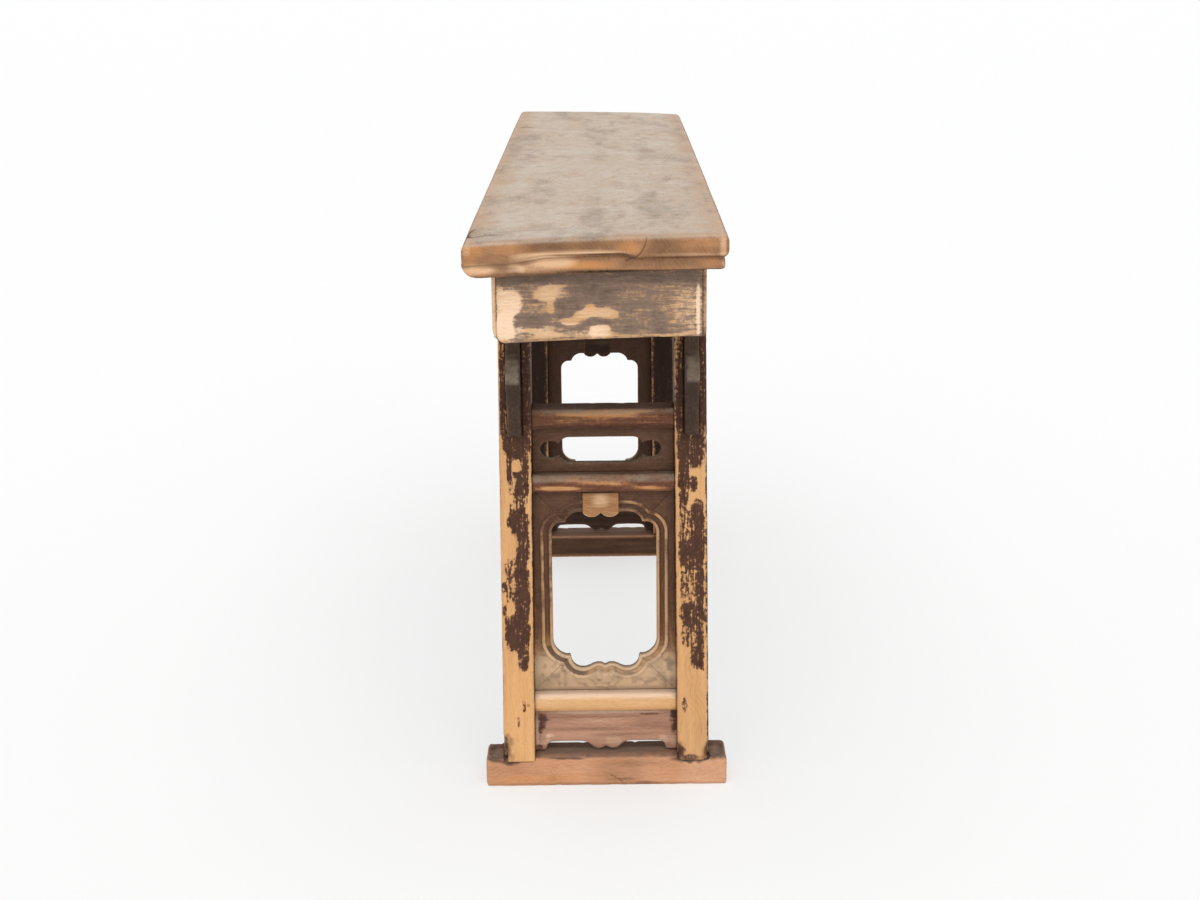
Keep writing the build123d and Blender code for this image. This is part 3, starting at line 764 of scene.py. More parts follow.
# %% End aprons and cross ties
apron_patches = [
    (-7, 821, 140, 5, 0.6), (-116, 817, 17, 7, 0.3), (-9, 815, 30, 8, 0.35), (88, 823, 40, 7, 0.35),
    (-19, 796, 38, 16, 0.45), (-41, 790, 16, 13, 0.2), (46, 805, 27, 20, 0.15), (75, 766, 12, 14, 0.3),
    (-88, 768, 19, 8, 0.45), (-51, 774, 17, 3, 0.4), (-52, 761, 8, 2, 0.3), (-96, 749, 13, 3, 0.5),
    (-3, 765, 17, 4, 0.5), (35, 759, 20, 9, 0.25), (-84, 793, 7, 2, 0.3), (-94, 805, 9, 3, 0.2),
    (79, 756, 31, 6, 0.2), (-115, 793, 14, 15, -0.55), (-122, 762, 12, 20, -0.5), (-82, 751, 27, 9, -0.35),
    (-59, 805, 23, 10, -0.6), (-62, 787, 5, 10, -0.45), (-12, 784, 7, 6, -0.7), (-2, 779, 19, 6, -0.75),
    (14, 775, 10, 5, -0.6), (-24, 775, 10, 6, -0.6), (-38, 767, 11, 6, -0.5), (1, 755, 12, 7, -0.75),
    (108, 783, 15, 30, -0.17), (85, 791, 8, 5, -0.1), (127, 783, 2.4, 40, -0.35), (42, 798, 16, 9, -0.15),
    (-128, 790, 4, 45, -0.3), (0, 749, 140, 3, -0.25), (-136, 795, 4, 40, 0.4), (-131, 778, 5, 10, 0.3),
    (-20, 808, 60, 4, 0.2), (-72, 770, 10, 4, 0.3), (-30, 758, 14, 3, 0.3), (60, 790, 40, 3, 0.15),
]
pale_patches = [
    (-115, 790, 20, 24, 0.8), (-120, 758, 18, 18, 0.7), (-60, 756, 64, 12, 0.5), (-4, 778, 26, 8, 0.45),
    (114, 780, 20, 38, 0.5), (-59, 802, 26, 13, 0.45), (1, 753, 14, 9, 0.6), (127, 783, 5, 42, 0.6),
]
apron_ochre = [(-13, 782, 9, 7, 0.6), (-36, 805, 10, 7, 0.5), (44, 802, 22, 14, 0.35)]
lost_corner = 14  # mm, radius
apron_outer = 880  # mm from the middle of the table; past it an end apron's face counts in full
dark_line = 831  # mm above the floor; from here up to the plank the end apron is dark


def low_front_rounded(node, points, radius):
    """The points, seen from the end, with the piece's lower front corner rounded."""
    low = np.array(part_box(node)[0]) / MM
    middle = -low[1:] - radius
    return -(middle + pull_to_arc(-points[:, 1:] - middle, radius))


def round_front_corner(new, points):
    """Rounds the lower front corner of the near end apron."""
    if new[:, 0].mean() > 0:
        points[:, 1:] = low_front_rounded("end_apron_right", points, lost_corner)
    return points


for side, sign in SIDES.items():
    node = f"end_apron_{side}"
    piece = blank_from(node, 1.7)
    new, normals, marks = wear_down(node, piece, rounding=5, carve=round_front_corner)
    outer = soft_step(new[:, 0] * sign, apron_outer - 6, apron_outer)
    place = turned(twisted(new), sign)
    coat = blend(0.75, 0.5 + daub(place, apron_patches, 0.45), outer) + 0.1 * drift(new, (40, 40, 12), 7)
    marks["dirt_and_shade"] *= 0.5
    move_points(piece, apron_crept(points_of(piece)))
    # painted shadow of the plank along the top of the end apron
    plank_shadow = soft_step(place[:, 2], dark_line - 2.5, dark_line)
    plank_shadow *= soft_step(-abs(place[:, 1] - 15), -90, -50)
    darken(marks, 0.8 * plank_shadow * outer)
    pale, ochre = (outer * daub(place, tints, 0.6) for tints in (pale_patches, apron_ochre))
    finish_piece(piece, node, "apron", marks, coat=coat, pale=pale, ochre=ochre)

    node = f"cross_tie_{side}"
    piece = blank_from(node, 3)
    new, normals, marks = wear_down(node, piece)
    finish_piece(piece, node, "hidden_wood", marks, coat=0.2 + 0.2 * drift(new, 60, 8))
print("end aprons:", len(aged["end_apron_right"].data.polygons), "squares each")

# %% Long aprons
lip_corner = 22  # mm, radius, where the front apron's near end follows the lost corner
lip_start = 845  # mm from the middle of the table, where the rounding of that end begins


def round_lip(new, points):
    """Rounds the lower corner of the front apron's near end."""
    if new[:, 1].mean() < 0:
        rounded = low_front_rounded("long_apron_front", points, lip_corner)
        share = soft_step(new[:, 0], lip_start, lip_start + 20)
        points[:, 1:] = blend(points[:, 1:], rounded, share[:, None])
    return points


for side, outward in (("front", -1), ("back", 1)):
    node = f"long_apron_{side}"
    piece = blank_from(node, 2.6)
    new, normals, marks = wear_down(node, piece, rounding=4, carve=round_lip)
    worn_low = soft_step(-new[:, 2], -775, -748)
    coat = 0.72 - 0.35 * worn_low + 0.3 * drift(new, (170, 60, 45), 9) + 0.15 * drift(new, 30, 10)
    # painted shade on the aprons' faces turned in under the plank
    darken(marks, 0.75 * soft_step(-normals[:, 1] * outward, 0.4, 0.8))
    lips = soft_step(abs(new[:, 0]), 862, 876)
    marks["dirt_and_shade"] *= 1 - lips
    end_coat = np.where(new[:, 0] * outward > 0, 0.5, 0.1) + 0.25 * drift(new, 25, 44)
    pale = lips * np.where(new[:, 0] * outward > 0, 0.4, 0.75)
    move_points(piece, apron_crept(points_of(piece)))
    finish_piece(piece, node, "apron", marks, coat=blend(coat, end_coat, lips), pale=pale)
print("long aprons:", len(aged["long_apron_front"].data.polygons), "squares each")

# %% [markdown]
# ## Legs
#
# The legs are straight, and lean out a little.  Hands, feet and brooms have worn the
# lacquer off below, and off the arrises all the way up.  The legs stand on damp floors:
# the front one has rotted at its outer corner, the back one at both corners and between
# them.  The stretchers' pegs end in the legs' end faces, so the same paint covers them.

# %% Where the legs are painted and rotten
front_leg_patches = [
    (-125, 534, 21, 18, 1.0), (-120, 501, 13, 20, 1.0), (-137, 498, 3, 22, 0.9), (-126, 501, 6.5, 10, -1.1),
    (-117, 471, 10, 14, 0.85), (-135, 469, 4, 12, 0.4), (-121, 455, 10, 24, 0.5), (-123, 415, 14, 20, 0.95),
    (-138, 416, 4, 8, 0.6), (-118, 376, 10, 26, 0.85), (-129, 346, 19, 16, 0.42), (-121, 304, 11, 40, 1.0),
    (-149, 315, 4, 9, 0.8), (-149, 282, 4, 9, 0.8), (-139, 312, 7, 24, 0.4), (-139, 284, 4, 10, -0.4),
    (-129, 245, 18, 28, 0.95), (-121, 203, 8, 18, 0.8), (-147, 250, 4, 20, 0.3), (-122, 128, 2.4, 9, 0.6),
    (-131, 104, 3, 9, 0.3), (-145, 570, 4, 25, 0.9), (-145, 650, 6, 85, 0.9), (-110, 650, 8, 110, 1.0),
    (-150.5, 655, 2.2, 95, -1.3), (-142.5, 672, 1.4, 70, -0.55), (-112, 352, 3, 8, -0.4),
    (-134, 436, 4, 10, 0.3),
]
back_leg_patches = [
    (127, 526, 20, 30, 1.05), (116, 474, 8, 36, 0.95), (131, 471, 5.5, 12, 0.85), (137, 400, 11, 44, 0.95),
    (113, 398, 4, 44, 0.6), (121, 397, 5, 42, 0.38), (130, 362, 19, 22, 0.75), (122, 315, 12, 28, 0.44),
    (141, 315, 7, 28, 0.9), (130, 271, 19, 18, 0.9), (125, 237, 13, 17, 0.48), (142, 237, 6, 17, 0.75),
    (137, 204, 10, 18, 0.9), (118, 128, 4, 13, 0.42), (145, 185, 3, 4, 0.4), (126, 515, 1.2, 24, -0.5),
    (134, 650, 22, 100, 1.0), (113, 600, 8, 50, 0.9),
]
leg_outer = 148.5  # mm, about how far the leg's outer face is from the middle, under the plank
leg_lean = 0.00803  # mm outwards for each mm down
dusty_arris = 46.8  # mm from that face to the line of dust on the inner arris
leaves_from, leaves_to = 540, 560  # mm above the floor, about where the spandrels' leaves begin
front_leg_rot = [((leg_face, -157, 55), (30, 16, 30), 13)]
back_leg_rot = [
    ((leg_face, 107, 50), (24, 12, 16), 8),
    ((leg_face, 160, 50), (20, 12, 24), 9),
    ((leg_face, 126, 43), (8, 18, 6), 2),
]
print(len(front_leg_patches) + len(back_leg_patches), "patches on the legs")


# %% Legs
def paint_leg(new, normals, sign, patches, place):
    """Lacquer on a leg: painted on the end face, and worn from below on the others."""
    by_height = np.interp(new[:, 2], (40, 120, 260, 420), (0.25, 0.45, 0.75, 0.95))
    by_height += 0.25 * drift(new, (40, 40, 130), 11)
    end_face = soft_step(normals[:, 0] * sign, 0.3, 0.7)
    return blend(by_height, 0.04 + daub(place, patches), end_face)


for side, sign in SIDES.items():
    for row, patches, rot in (
        ("front", front_leg_patches, front_leg_rot), ("back", back_leg_patches, back_leg_rot)
    ):
        across = {"front": -1, "back": 1}[row] * sign
        node = f"leg_{'front' if across < 0 else 'back'}_{side}"
        piece = blank_from(node, 2.3)
        new, normals, marks = wear_down(node, piece, rounding=8, notches=at_end(rot, sign))
        place = turned(new, sign)
        lean = leg_outer + (under - new[:, 2]) * leg_lean
        coat = paint_leg(new, normals, sign, patches, place)
        leaves = soft_step(new[:, 2], leaves_from, leaves_to)
        coat += 0.35 * leaves
        marks["dirt_and_shade"] *= 1 - 0.75 * leaves
        marks["arris"] *= 1 - 0.6 * leaves
        marks["dirt_and_shade"] *= 1 - 0.6 * marks["rot"]
        inner_arris = np.exp(-(((abs(new[:, 1]) - lean + dusty_arris) / 0.9) ** 2)) * leaves
        outer_arris = soft_step(abs(new[:, 1]) - lean, -3.4, -2.2)
        if row == "back":
            soiled = 0.16 * soft_step(-new[:, 2], -280, -120) * (1 + 0.6 * drift(new, (14, 14, 40), 47))
            darken(marks, soiled)
            coat = np.maximum(coat, 0.6 * outer_arris)
            marks["arris"] *= 1 - 0.9 * outer_arris
        finish_piece(piece, node, "leg", marks, coat=coat, dusted=0.16 * inner_arris)
        print(node, "has", len(piece.data.polygons), "squares")

# %% The stretchers' pegs
for side, sign in SIDES.items():
    node = f"stretcher_pegs_{side}"
    piece = blank_from(node, 0.9)
    new, normals, marks = wear_down(node, piece, wave=0.2, rounding=1, dents=0, chips=0)
    coat = paint_leg(new, normals, sign, front_leg_patches + back_leg_patches, turned(new, sign))
    finish_piece(piece, node, "hidden_wood", marks, coat=coat)
print("pegs:", len(aged["stretcher_pegs_right"].data.polygons), "squares at each end")

# %% [markdown]
# ## Sled feet
#
# The sled feet are bars that lie on the floor.  Their tops hold dust and are pitted by
# rot round the legs.  Their faces are bare, and warm in colour.

# %% Sled feet
pit_depth = 3.5  # mm
sled_pits = [(middle, half, pit_depth) for middle, half in (  # along, across, up; half sizes
    ((600, -166, 45), (18, 15, 8)), ((604, -148, 40), (8, 16, 7)), ((598, 160, 45), (14, 20, 8)),
    ((604, 128, 42), (8, 26, 8)), ((572, -172, 46), (18, 10, 6)), ((575, 174, 46), (20, 9, 7)),
    ((604, 60, 2), (5, 20, 4)), ((604, 22, 9), (3, 22, 2.2)), ((604, -60, 46), (5, 30, 3)),
)]
sled_crack = arc(7 + 17j, 1 - 0.6j, 34 - 3j, 6)
sled_pale = [(150, 20, 44, 28, 0.45), (-60, 26, 60, 12, 0.3), (60, 40, 60, 6, 0.2)]
sled_ochre = [(-110, 10, 60, 8, 0.5), (-20, 16, 50, 10, 0.25), (120, 34, 50, 8, 0.3)]
# grime on the sled's face; the last patch, along its bottom, is a painted contact shadow
sled_grime_and_shadow = [(20, 22, 38, 18, 0.3), (60, 36, 50, 6, 0.2), (-150, 32, 30, 14, 0.15), (0, 1, 180, 3, 0.3)]
for side, sign in SIDES.items():
    node = f"sled_foot_{side}"
    piece = blank_from(node, 2.2)
    notches = at_end(sled_pits, sign)
    new, normals, marks = wear_down(node, piece, wave=0.8, dents=1.6, chips=3.0, notches=notches)
    front_face = soft_step(normals[:, 0] * sign, 0.4, 0.8)
    marks["rot"] *= 1 - 0.6 * front_face * (new[:, 2] < 30)
    marks["dirt_and_shade"] *= 1 - 0.6 * marks["rot"]
    place = turned(new, sign)
    tints = sled_pale, sled_ochre, sled_grime_and_shadow
    pale, ochre, grime_and_shadow = (front_face * daub(place, patches, 0.6) for patches in tints)
    crack = front_face * 0.8 * np.exp(-((distance_from(sled_crack, spots(place)) / 0.9) ** 2))
    darken(marks, np.maximum(grime_and_shadow, crack))
    marks["arris"] *= 1 - marks["inside_shade"]
    marks["inside_shade"] *= 0.94
    # painted shade on the sled tops between the ends, under the table
    between_ends = soft_step(-abs(new[:, 0]), -572, -560) * soft_step(normals[:, 2], 0.5, 0.9)
    marks["inside_shade"] = np.maximum(marks["inside_shade"], 0.72 * between_ends)
    coat = 0.1 + 0.2 * drift(new, (30, 80, 20), 12)
    finish_piece(piece, node, "sled", marks, coat=coat, pale=pale, ochre=ochre, wiped=0.6 * between_ends)
print("sled feet:", len(aged["sled_foot_right"].data.polygons), "squares each")

# %% [markdown]
# ## Stretchers
#
# Each stretcher's outer face is a shallow round, and the lacquer on its crest has been
# rubbed through in streaks.  Those streaks, and a dusty band above them, are paler still as
# a painted highlight.  The lowest one has lost all its lacquer, and is pale on top.

# %% Stretchers
lit_and_rubbed_streaks = {
    "upper": [
        (-14, 576, 72, 4, 0.9), (14, 579, 48, 3.2, 0.45), (8, 584, 50, 3, 0.35), (52, 580, 44, 2, 0.5),
        (-59, 584, 28, 3, 0.3), (-54, 566, 16, 2.6, 0.5), (20, 563, 70, 2, 0.3), (-20, 570, 76, 2, 0.35),
        (60, 571, 30, 2, 0.3),
    ],
    "middle": [
        (5, 481, 74, 2.6, 0.6), (-8, 473, 44, 3.2, 0.7), (-70, 465, 26, 3.6, 0.95), (-42, 464, 16, 3, 0.5),
        (56, 465, 16, 3, 0.55), (76, 464, 16, 3.4, 0.6), (26, 469, 20, 2.4, 0.4), (0, 477, 84, 1.6, 0.35),
        (-60, 477, 30, 2, 0.3),
    ],
    "lower": [],
}
outer_from = 597  # mm from the middle of the table; past it a stretcher's face counts in full
low_ochre, low_pale = 120, 141  # mm above the floor; the lowest is ochre below, pale above
by_the_legs = 106  # mm sideways from the middle, where dirt lies beside the legs
for side, sign in SIDES.items():
    for kind, streaks in lit_and_rubbed_streaks.items():
        node = f"{kind}_stretcher_{side}"
        piece = blank_from(node, 1.7)
        new, normals, marks = wear_down(node, piece, rounding=4)
        place = turned(new, sign)
        outer = soft_step(new[:, 0] * sign, outer_from - 6, outer_from)
        rubbed = daub(place, streaks, 0.6) * outer
        if kind == "lower":
            top_share = soft_step(new[:, 2], low_pale - 7, low_pale)
            ochre = 0.5 * outer * soft_step(-new[:, 2], -low_ochre - 6, -low_ochre)
            darken(marks, 0.5 * soft_step(abs(new[:, 1]), by_the_legs - 3.5, by_the_legs))
            finish_piece(piece, node, "stretcher", marks, pale=0.25 + 0.6 * top_share, ochre=ochre)
            continue
        coat = 0.95 - rubbed + 0.15 * drift(new, (25, 70, 8), 14)
        bottom, top = (corner[2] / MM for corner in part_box(node))
        shaded = {"upper": 0.65, "middle": 0.1}[kind] * soft_step(-new[:, 2], -bottom - 13, -bottom - 5)
        marks["dirt_and_shade"] = np.maximum(0.6 * marks["dirt_and_shade"], shaded)
        # the dusty band on the crest and the paler rubbed streaks are also a painted highlight
        seen = soft_step(new[:, 0] * sign, 578, 582)
        crest = top - {"upper": 10, "middle": 13}[kind]
        dusted = seen * soft_step(new[:, 2], crest, crest + 7) * (0.8 + 0.4 * drift(new, (20, 20, 6), 31))
        finish_piece(piece, node, "stretcher", marks, coat=coat, dusted=dusted, pale=0.5 * rubbed)
print("stretchers done:", ", ".join(lit_and_rubbed_streaks))

# %% [markdown]
# ## The framed opening
#
# Four boards meet in mitres round a scalloped opening.  A double bead with a hollow
# between runs round it, following every curve.  It could be swept along the outline as a
# profile, but a sweep tangles at the cusps.  Carving by distance doesn't: each point of
# the boards' face is cut as deep as the profile says for its distance from the rim.

# %% Outline of the opening
lobe, cusp = 36 + 423j, 57.0 + 407j
side_top, side_bottom = 77.3 + 392j, 77.3 + 224j
low_cusp, low_lobe = 51 + 199j, 33 + 179j
crest, dip = 9 + 187j, 183j
halfway = (low_lobe + crest) / 2
half_rim = [423j] + arc(lobe, 1, cusp)
half_rim += arc(side_top, 1j, cusp)[::-1]
half_rim += arc(side_bottom, -1j, low_cusp)
half_rim += arc(low_lobe, 1, low_cusp)[::-1]
half_rim += arc(low_lobe, -1, halfway) + arc(crest, 1, halfway)[::-1]
half_rim += arc(crest, -1, dip)
rim = half_rim + [complex(-p.real, p.imag) for p in half_rim[::-1]]
rim_length = sum(abs(b - a) for a, b in zip(rim, rim[1:]))
print("the rim has", len(rim), "points and is", round(rim_length), "mm round")

# %% [markdown]
# The bead profile is a short list: how deep the carver cut at each distance from the rim.
# In the middle of the bottom board the beads end in a small spray of petals, which stand
# in a sunk ground.  A petal is the cap of an egg, so its height is one square root, and
# the highest petal wins where two overlap.

# %% Carving the boards
board_face = 580  # mm from the middle of the table
from_rim = (0, 0.9, 2.4, 4.2, 5.1, 6.0, 8.5, 10.8, 11.7, 12.6, 14.6, 16.6, 17.6, 19.5)
cut_depth = (1.2, 0.3, 0.0, 0.5, 1.9, 3.0, 3.5, 2.9, 1.6, 0.5, 0.0, 0.6, 1.9, 2.3)
carved_reach = 21  # mm of board round the rim that is worth finer squares
petals_half, petals_top = 30, 190  # mm, the part round the petals that is worth them too
petals = [  # root, tip and half width of each
    (0 + 154j, 0 + 178j, 5.0), (-4 + 154j, -13 + 173j, 4.2), (4 + 154j, 13.5 + 173j, 4.2),
    (-7 + 153j, -21 + 163j, 3.8), (7 + 153j, 21 + 163j, 3.8), (-4 + 152j, -15 + 150j, 2.6),
    (4 + 152j, 15 + 151.5j, 2.6), (-5 + 150j, 5 + 150j, 3.0),
]
sunk = 1.8  # mm, of the ground round the petals


def petal_height(places):
    """Height of the petals over their ground, and how much they take the place of the beads."""
    height = np.zeros(len(places))
    for root, tip, half_width in petals:
        along_it = (places - (root + tip) / 2) / (tip - root)
        reach = np.hypot(2 * along_it.real, along_it.imag * abs(tip - root) / half_width)
        height = np.maximum(height, sunk * np.sqrt(np.clip(1 - reach**2, 0, 1)))
    share = soft_step(-np.hypot(places.real / 25, (places.imag - 163) / 17), -1.15, -0.8)
    return height, share


def carve_board(new, points):
    """Cuts the beads, the hollow, the ground and the petals into a board's outer face."""
    sign = np.sign(new[:, 0].mean())
    depth = np.interp(distance_from(rim, spots(new)), from_rim, cut_depth)
    height, share = petal_height(spots(new))
    on_face = soft_step(new[:, 0] * sign, board_face - 3, board_face - 0.6)
    points[:, 0] -= sign * blend(depth, sunk - height, share) * on_face
    return points


print("the beads reach", from_rim[-1], "mm from the rim, and", len(petals), "petals are carved")

# %% [markdown]
# The boards' upper parts keep their lacquer.  Hands reached the beads first, so those are
# bare nearly all round, and the hollow between them holds its lacquer longest.


# %% Painting the boards
def paint_board(new, sign, marks):
    """Lacquer on the boards, and their pale parts.  Adds the old soiling of the carved hollows, and darkens
    the board's low edge.
    """
    place = turned(new, sign)
    gap = distance_from(rim, spots(new))
    across, up = place[:, 1], place[:, 2]
    face = soft_step(new[:, 0] * sign, board_face - 6, board_face - 4)
    inner_bead = soft_step(-gap, -4.9, -4.1)
    hollow = soft_step(gap, 4.6, 5.6) * soft_step(-gap, -12.2, -11.2)
    outer_bead = soft_step(gap, 12.0, 12.8) * soft_step(-gap, -17.4, -16.6)
    ground_coat = np.interp(up, (190, 240, 300), (0.1, 0.65, 0.98)) + 0.1 * drift(new, (30, 30, 90), 33)
    bead_coat = np.interp(up, (190, 330, 400, 430), (0.05, 0.25, 0.4, 0.62))
    bead_coat += 0.4 * drift(new, 22, 34) + 0.3 * drift(new, 8, 48)
    bead_coat += 0.12 * np.where(across > 10, -1, 1) * (up > 380)
    bead_coat += 0.22 * soft_step(-across, 20, 50) * soft_step(up, 235, 290)
    hollow_coat = np.interp(up, (150, 190, 215, 245, 420), (0.0, 0.1, 0.35, 0.85, 0.95))
    runs_round = soft_step(-across, 16, 44) * soft_step(gap, 5.5, 6.5) * hollow * (up < 215)
    coat = blend(ground_coat, hollow_coat, hollow)
    coat = blend(coat, bead_coat, outer_bead)
    coat = blend(coat, bead_coat - 0.1, inner_bead)
    coat = np.maximum(coat, 1.1 * runs_round)
    lines = np.maximum(np.exp(-((gap - 5.4) ** 2)), np.exp(-((gap - 11.6) ** 2)))
    lines *= soft_step(across, 14, 20) * soft_step(-across, -52, -44) * (up < 200)
    height, share = petal_height(spots(new))
    sunk_in = 0.3 * share * soft_step(-height, -1.0, -0.2)
    # darker along the board's low edge, above the stretcher
    low_edge = 0.45 * soft_step(-up, -152, -146)
    smudges = daub(place, [
        (-96, 156, 18, 14, 0.3), (98, 154, 16, 8, 0.4), (72, 188, 14, 10, 0.3), (80, 172, 10, 8, 0.2),
        (-60, 158, 40, 6, 0.15), (0, 165, 24, 14, 0.12),
    ], 0.6)
    in_hollow = 0.22 * hollow * soft_step(up, 190, 250)
    crumbs = 0.6 * soft_step(drift(new, (16, 16, 8), 35) + 0.7 * drift(new, 5, 36), -0.2, 1.1)
    crumbs *= soft_step(-up, -240, -190) * (1 - 0.6 * np.maximum(inner_bead, outer_bead))
    carved = face * np.maximum.reduce([sunk_in, 0.6 * lines, low_edge, smudges + crumbs, in_hollow])
    marks["dirt_and_shade"] = np.maximum(0.3 * marks["dirt_and_shade"], carved)
    low = 1 - soft_step(up, 180, 235)
    pale = low * (0.75 - 0.4 * hollow) + 0.4 * (inner_bead + outer_bead)
    return blend(0.85, coat, face), pale * face, 0.25 * low * face


for side, sign in SIDES.items():
    for board in ("top", "bottom", "front", "back"):
        node = f"frame_{board}_{side}"
        piece = blank_from(node, 1.7)
        points = points_of(piece)
        near_rim = distance_from(rim, spots(points)) < carved_reach
        near_petals = (np.abs(points[:, 1]) < petals_half) & (points[:, 2] < petals_top)
        refine(piece, (near_rim | near_petals) & (points[:, 0] * sign > board_face - 1.2))
        new, normals, marks = wear_down(
            node, piece, wave=0.3, rounding=3, dents=0.6, chips=1.0, carve=carve_board
        )
        coat, pale, dusted = paint_board(new, sign, marks)
        marks["inside_shade"] *= 0.75
        finish_piece(piece, node, "panel", marks, coat=coat, pale=pale, dusted=dusted)
        print(node, "has", len(piece.data.polygons), "faces")

# %% [markdown]
# ## Pierced panel, centre block and skirt
#
# The pierced panel is dark and even.  The small block at the top of the opening is of
# lighter, bare wood.  The skirt's lower edge has worn upwards, most in its two arches, and
# its ends still hold some lacquer beside the legs.

# %% Pierced panels and centre blocks
block_pale = [(-5, 442, 10, 9, 0.5)]
block_low = 428  # mm above the floor; below it the block's arrises are pale
for side, sign in SIDES.items():
    node = f"pierced_panel_{side}"
    piece = blank_from(node, 1.5)
    new, normals, marks = wear_down(node, piece, wave=0.3, rounding=4, dents=0.6)
    # painted shade on the walls of the piercings
    hole_shade = soft_step(-abs(normals[:, 0]), -0.85, -0.4)
    marks["dirt_and_shade"] = np.maximum(0.25 * marks["dirt_and_shade"], 0.75 * hole_shade)
    finish_piece(piece, node, "panel", marks, coat=0.95 + 0.2 * drift(new, 30, 16))

    node = f"centre_block_{side}"
    piece = blank_from(node, 1.2)
    new, normals, marks = wear_down(node, piece, wave=0.3, rounding=5, dents=0.6)
    place = turned(new, sign)
    edge = soft_step(marks["arris"], 0.1, 0.5) * (new[:, 2] < block_low)
    pale = 0.25 + daub(place, block_pale, 0.7) + 0.6 * edge
    marks["arris"] *= 0.4
    marks["dirt_and_shade"] *= 0.5
    finish_piece(piece, node, "block", marks, coat=0.05 + 0.1 * drift(new, 12, 17), pale=pale)
print("centre blocks:", len(aged["centre_block_right"].data.polygons), "squares each")

# %% Skirts
skirt_notches = [((580, -101, 50), (10, 6, 4), 2)]
arch_places, arch_lifts = (18, 40, 70, 92), (2.5, 3.9, 3.9, 2.5)  # mm from the middle, mm worn off
skirt_patches = [
    (-96, 101, 6, 6, 0.5), (-95, 92, 4, 10, 0.5), (-99, 83, 3, 9, 0.45), (-91, 97, 5, 3, 0.25),
    (103, 105, 5, 7, 0.6), (105, 93, 3, 14, 0.6), (99, 97, 4, 6, 0.3), (102, 80, 3, 8, 0.35),
    (66, 105, 14, 2, 0.3),
]
skirt_pale = [
    (4, 109, 96, 3.5, 0.7), (-104, 76, 2.5, 26, 0.8), (-85, 70, 7, 4, 0.5), (-88, 66, 3, 6, 0.3),
    (87, 62, 8, 8, 0.5), (103, 60, 6, 10, 0.5), (12, 60, 14, 11, 0.4), (-93, 57, 12, 5, 0.4),
    (-20, 95, 70, 6, 0.3), (30, 84, 60, 4, 0.25),
]
skirt_grime = [(-37, 81, 60, 3, 0.35), (25, 70, 40, 3, 0.35), (66, 90, 24, 8, 0.25), (-20, 101, 80, 1.5, 0.3)]


def lift_edge(new, points):
    """Wears the skirt's lower edge upwards, most in the two arches."""
    worn_off = np.interp(abs(new[:, 1]), arch_places, arch_lifts)
    points[:, 2] += worn_off * soft_step(-new[:, 2], -86, -60)
    return points


for side, sign in SIDES.items():
    node = f"skirt_{side}"
    piece = blank_from(node, 1.5)
    notches = at_end(skirt_notches, sign)
    new, normals, marks = wear_down(
        node, piece, wave=0.4, rounding=4, dents=0.9, notches=notches, carve=lift_edge
    )
    place = turned(new, sign)
    marks["dirt_and_shade"] *= 0.5
    darken(marks, daub(place, skirt_grime, 0.6))
    coat = 0.12 + daub(place, skirt_patches) + 0.15 * drift(new, (20, 60, 12), 18)
    finish_piece(piece, node, "skirt", marks, coat=coat, pale=daub(place, skirt_pale, 0.6))
print("skirts:", len(aged["skirt_right"].data.polygons), "squares each")

# %% [markdown]
# ## Spandrels
#
# The cloud-shaped spandrels fill the corners between legs and aprons.  From the side they
# are flat boards with a hooked outline, which the CAD holds.  A carver's line runs just
# inside that outline.  How far a point is from the outline is asked of a k-d tree of the
# points on the board's narrow edge, laid flat.

# %% Spandrels
line_inset = 6.0  # mm from the edge to the line
line_half = 1.5
line_depth = 1.3
hook_low, hook_high = 632, 678  # mm above the floor, where dust lies on the leaves' hooks


def edge_gap(new, normals):
    """How far each point is from the board's outline, seen from its side."""
    on_edge = new[abs(normals[:, 1]) < 0.6]
    tree = KDTree(len(on_edge))
    for number, (x, _, z) in enumerate(on_edge):
        tree.insert((x, 0, z), number)
    tree.balance()
    return np.array([tree.find((x, 0, z))[2] for x, _, z in new])


for side, sign in SIDES.items():
    for row in ("front", "back"):
        node = f"spandrel_{row}_{side}"
        piece = blank_from(node, 1.9)
        new, normals = points_of(piece), points_of(piece, "normal")
        line = np.exp(-(((edge_gap(new, normals) - line_inset) / line_half) ** 2))
        line *= abs(normals[:, 1]) > 0.7
        move_points(piece, new - normals * (line_depth * line)[:, None])
        new, normals, marks = wear_down(node, piece, wave=0.5, rounding=4, dents=1.2, chips=2.6)
        marks["dirt_and_shade"] = np.maximum(0.2 * marks["dirt_and_shade"], 0.35 * line)
        end_edge = soft_step(normals[:, 0] * sign, 0.1, 0.5)
        hook = soft_step(new[:, 2], hook_low, hook_low + 8)
        hook *= soft_step(-new[:, 2], -hook_high, -hook_high + 10)
        dusted = end_edge * hook * (0.75 + 0.3 * drift(new, 9, 23))
        coat = 0.9 + 0.25 * drift(new, 45, 19)
        finish_piece(piece, node, "spandrel", marks, coat=coat, dusted=dusted)
print("triangles so far:", sum(2 * len(piece.data.polygons) for piece in aged.values()))

# %% [markdown]
# ## Elm, lacquer, dust, dirt and painted shade
#
# Every piece is made as elm with the remains of a brown lacquer.  One recipe serves all
# of them, because they are one wood under one finish; what differs is the grain's
# direction, how dark the wood has gone and how much dust lies on it.
#
# - Growth rings are 3-D, so faces show grain and cut ends show arcs, as sawn wood does.
# - Pores and fibres are noise drawn out along the grain.
# - The painted coat plus drawn-out noise, cut off sharply, gives ragged lacquer edges.
# - Dirt and painted shade are darkest in corners, dust palest on top.
#
# The noises come first, in a list: the space each one lives in, its size across the
# grain in millimetres, and its detail.

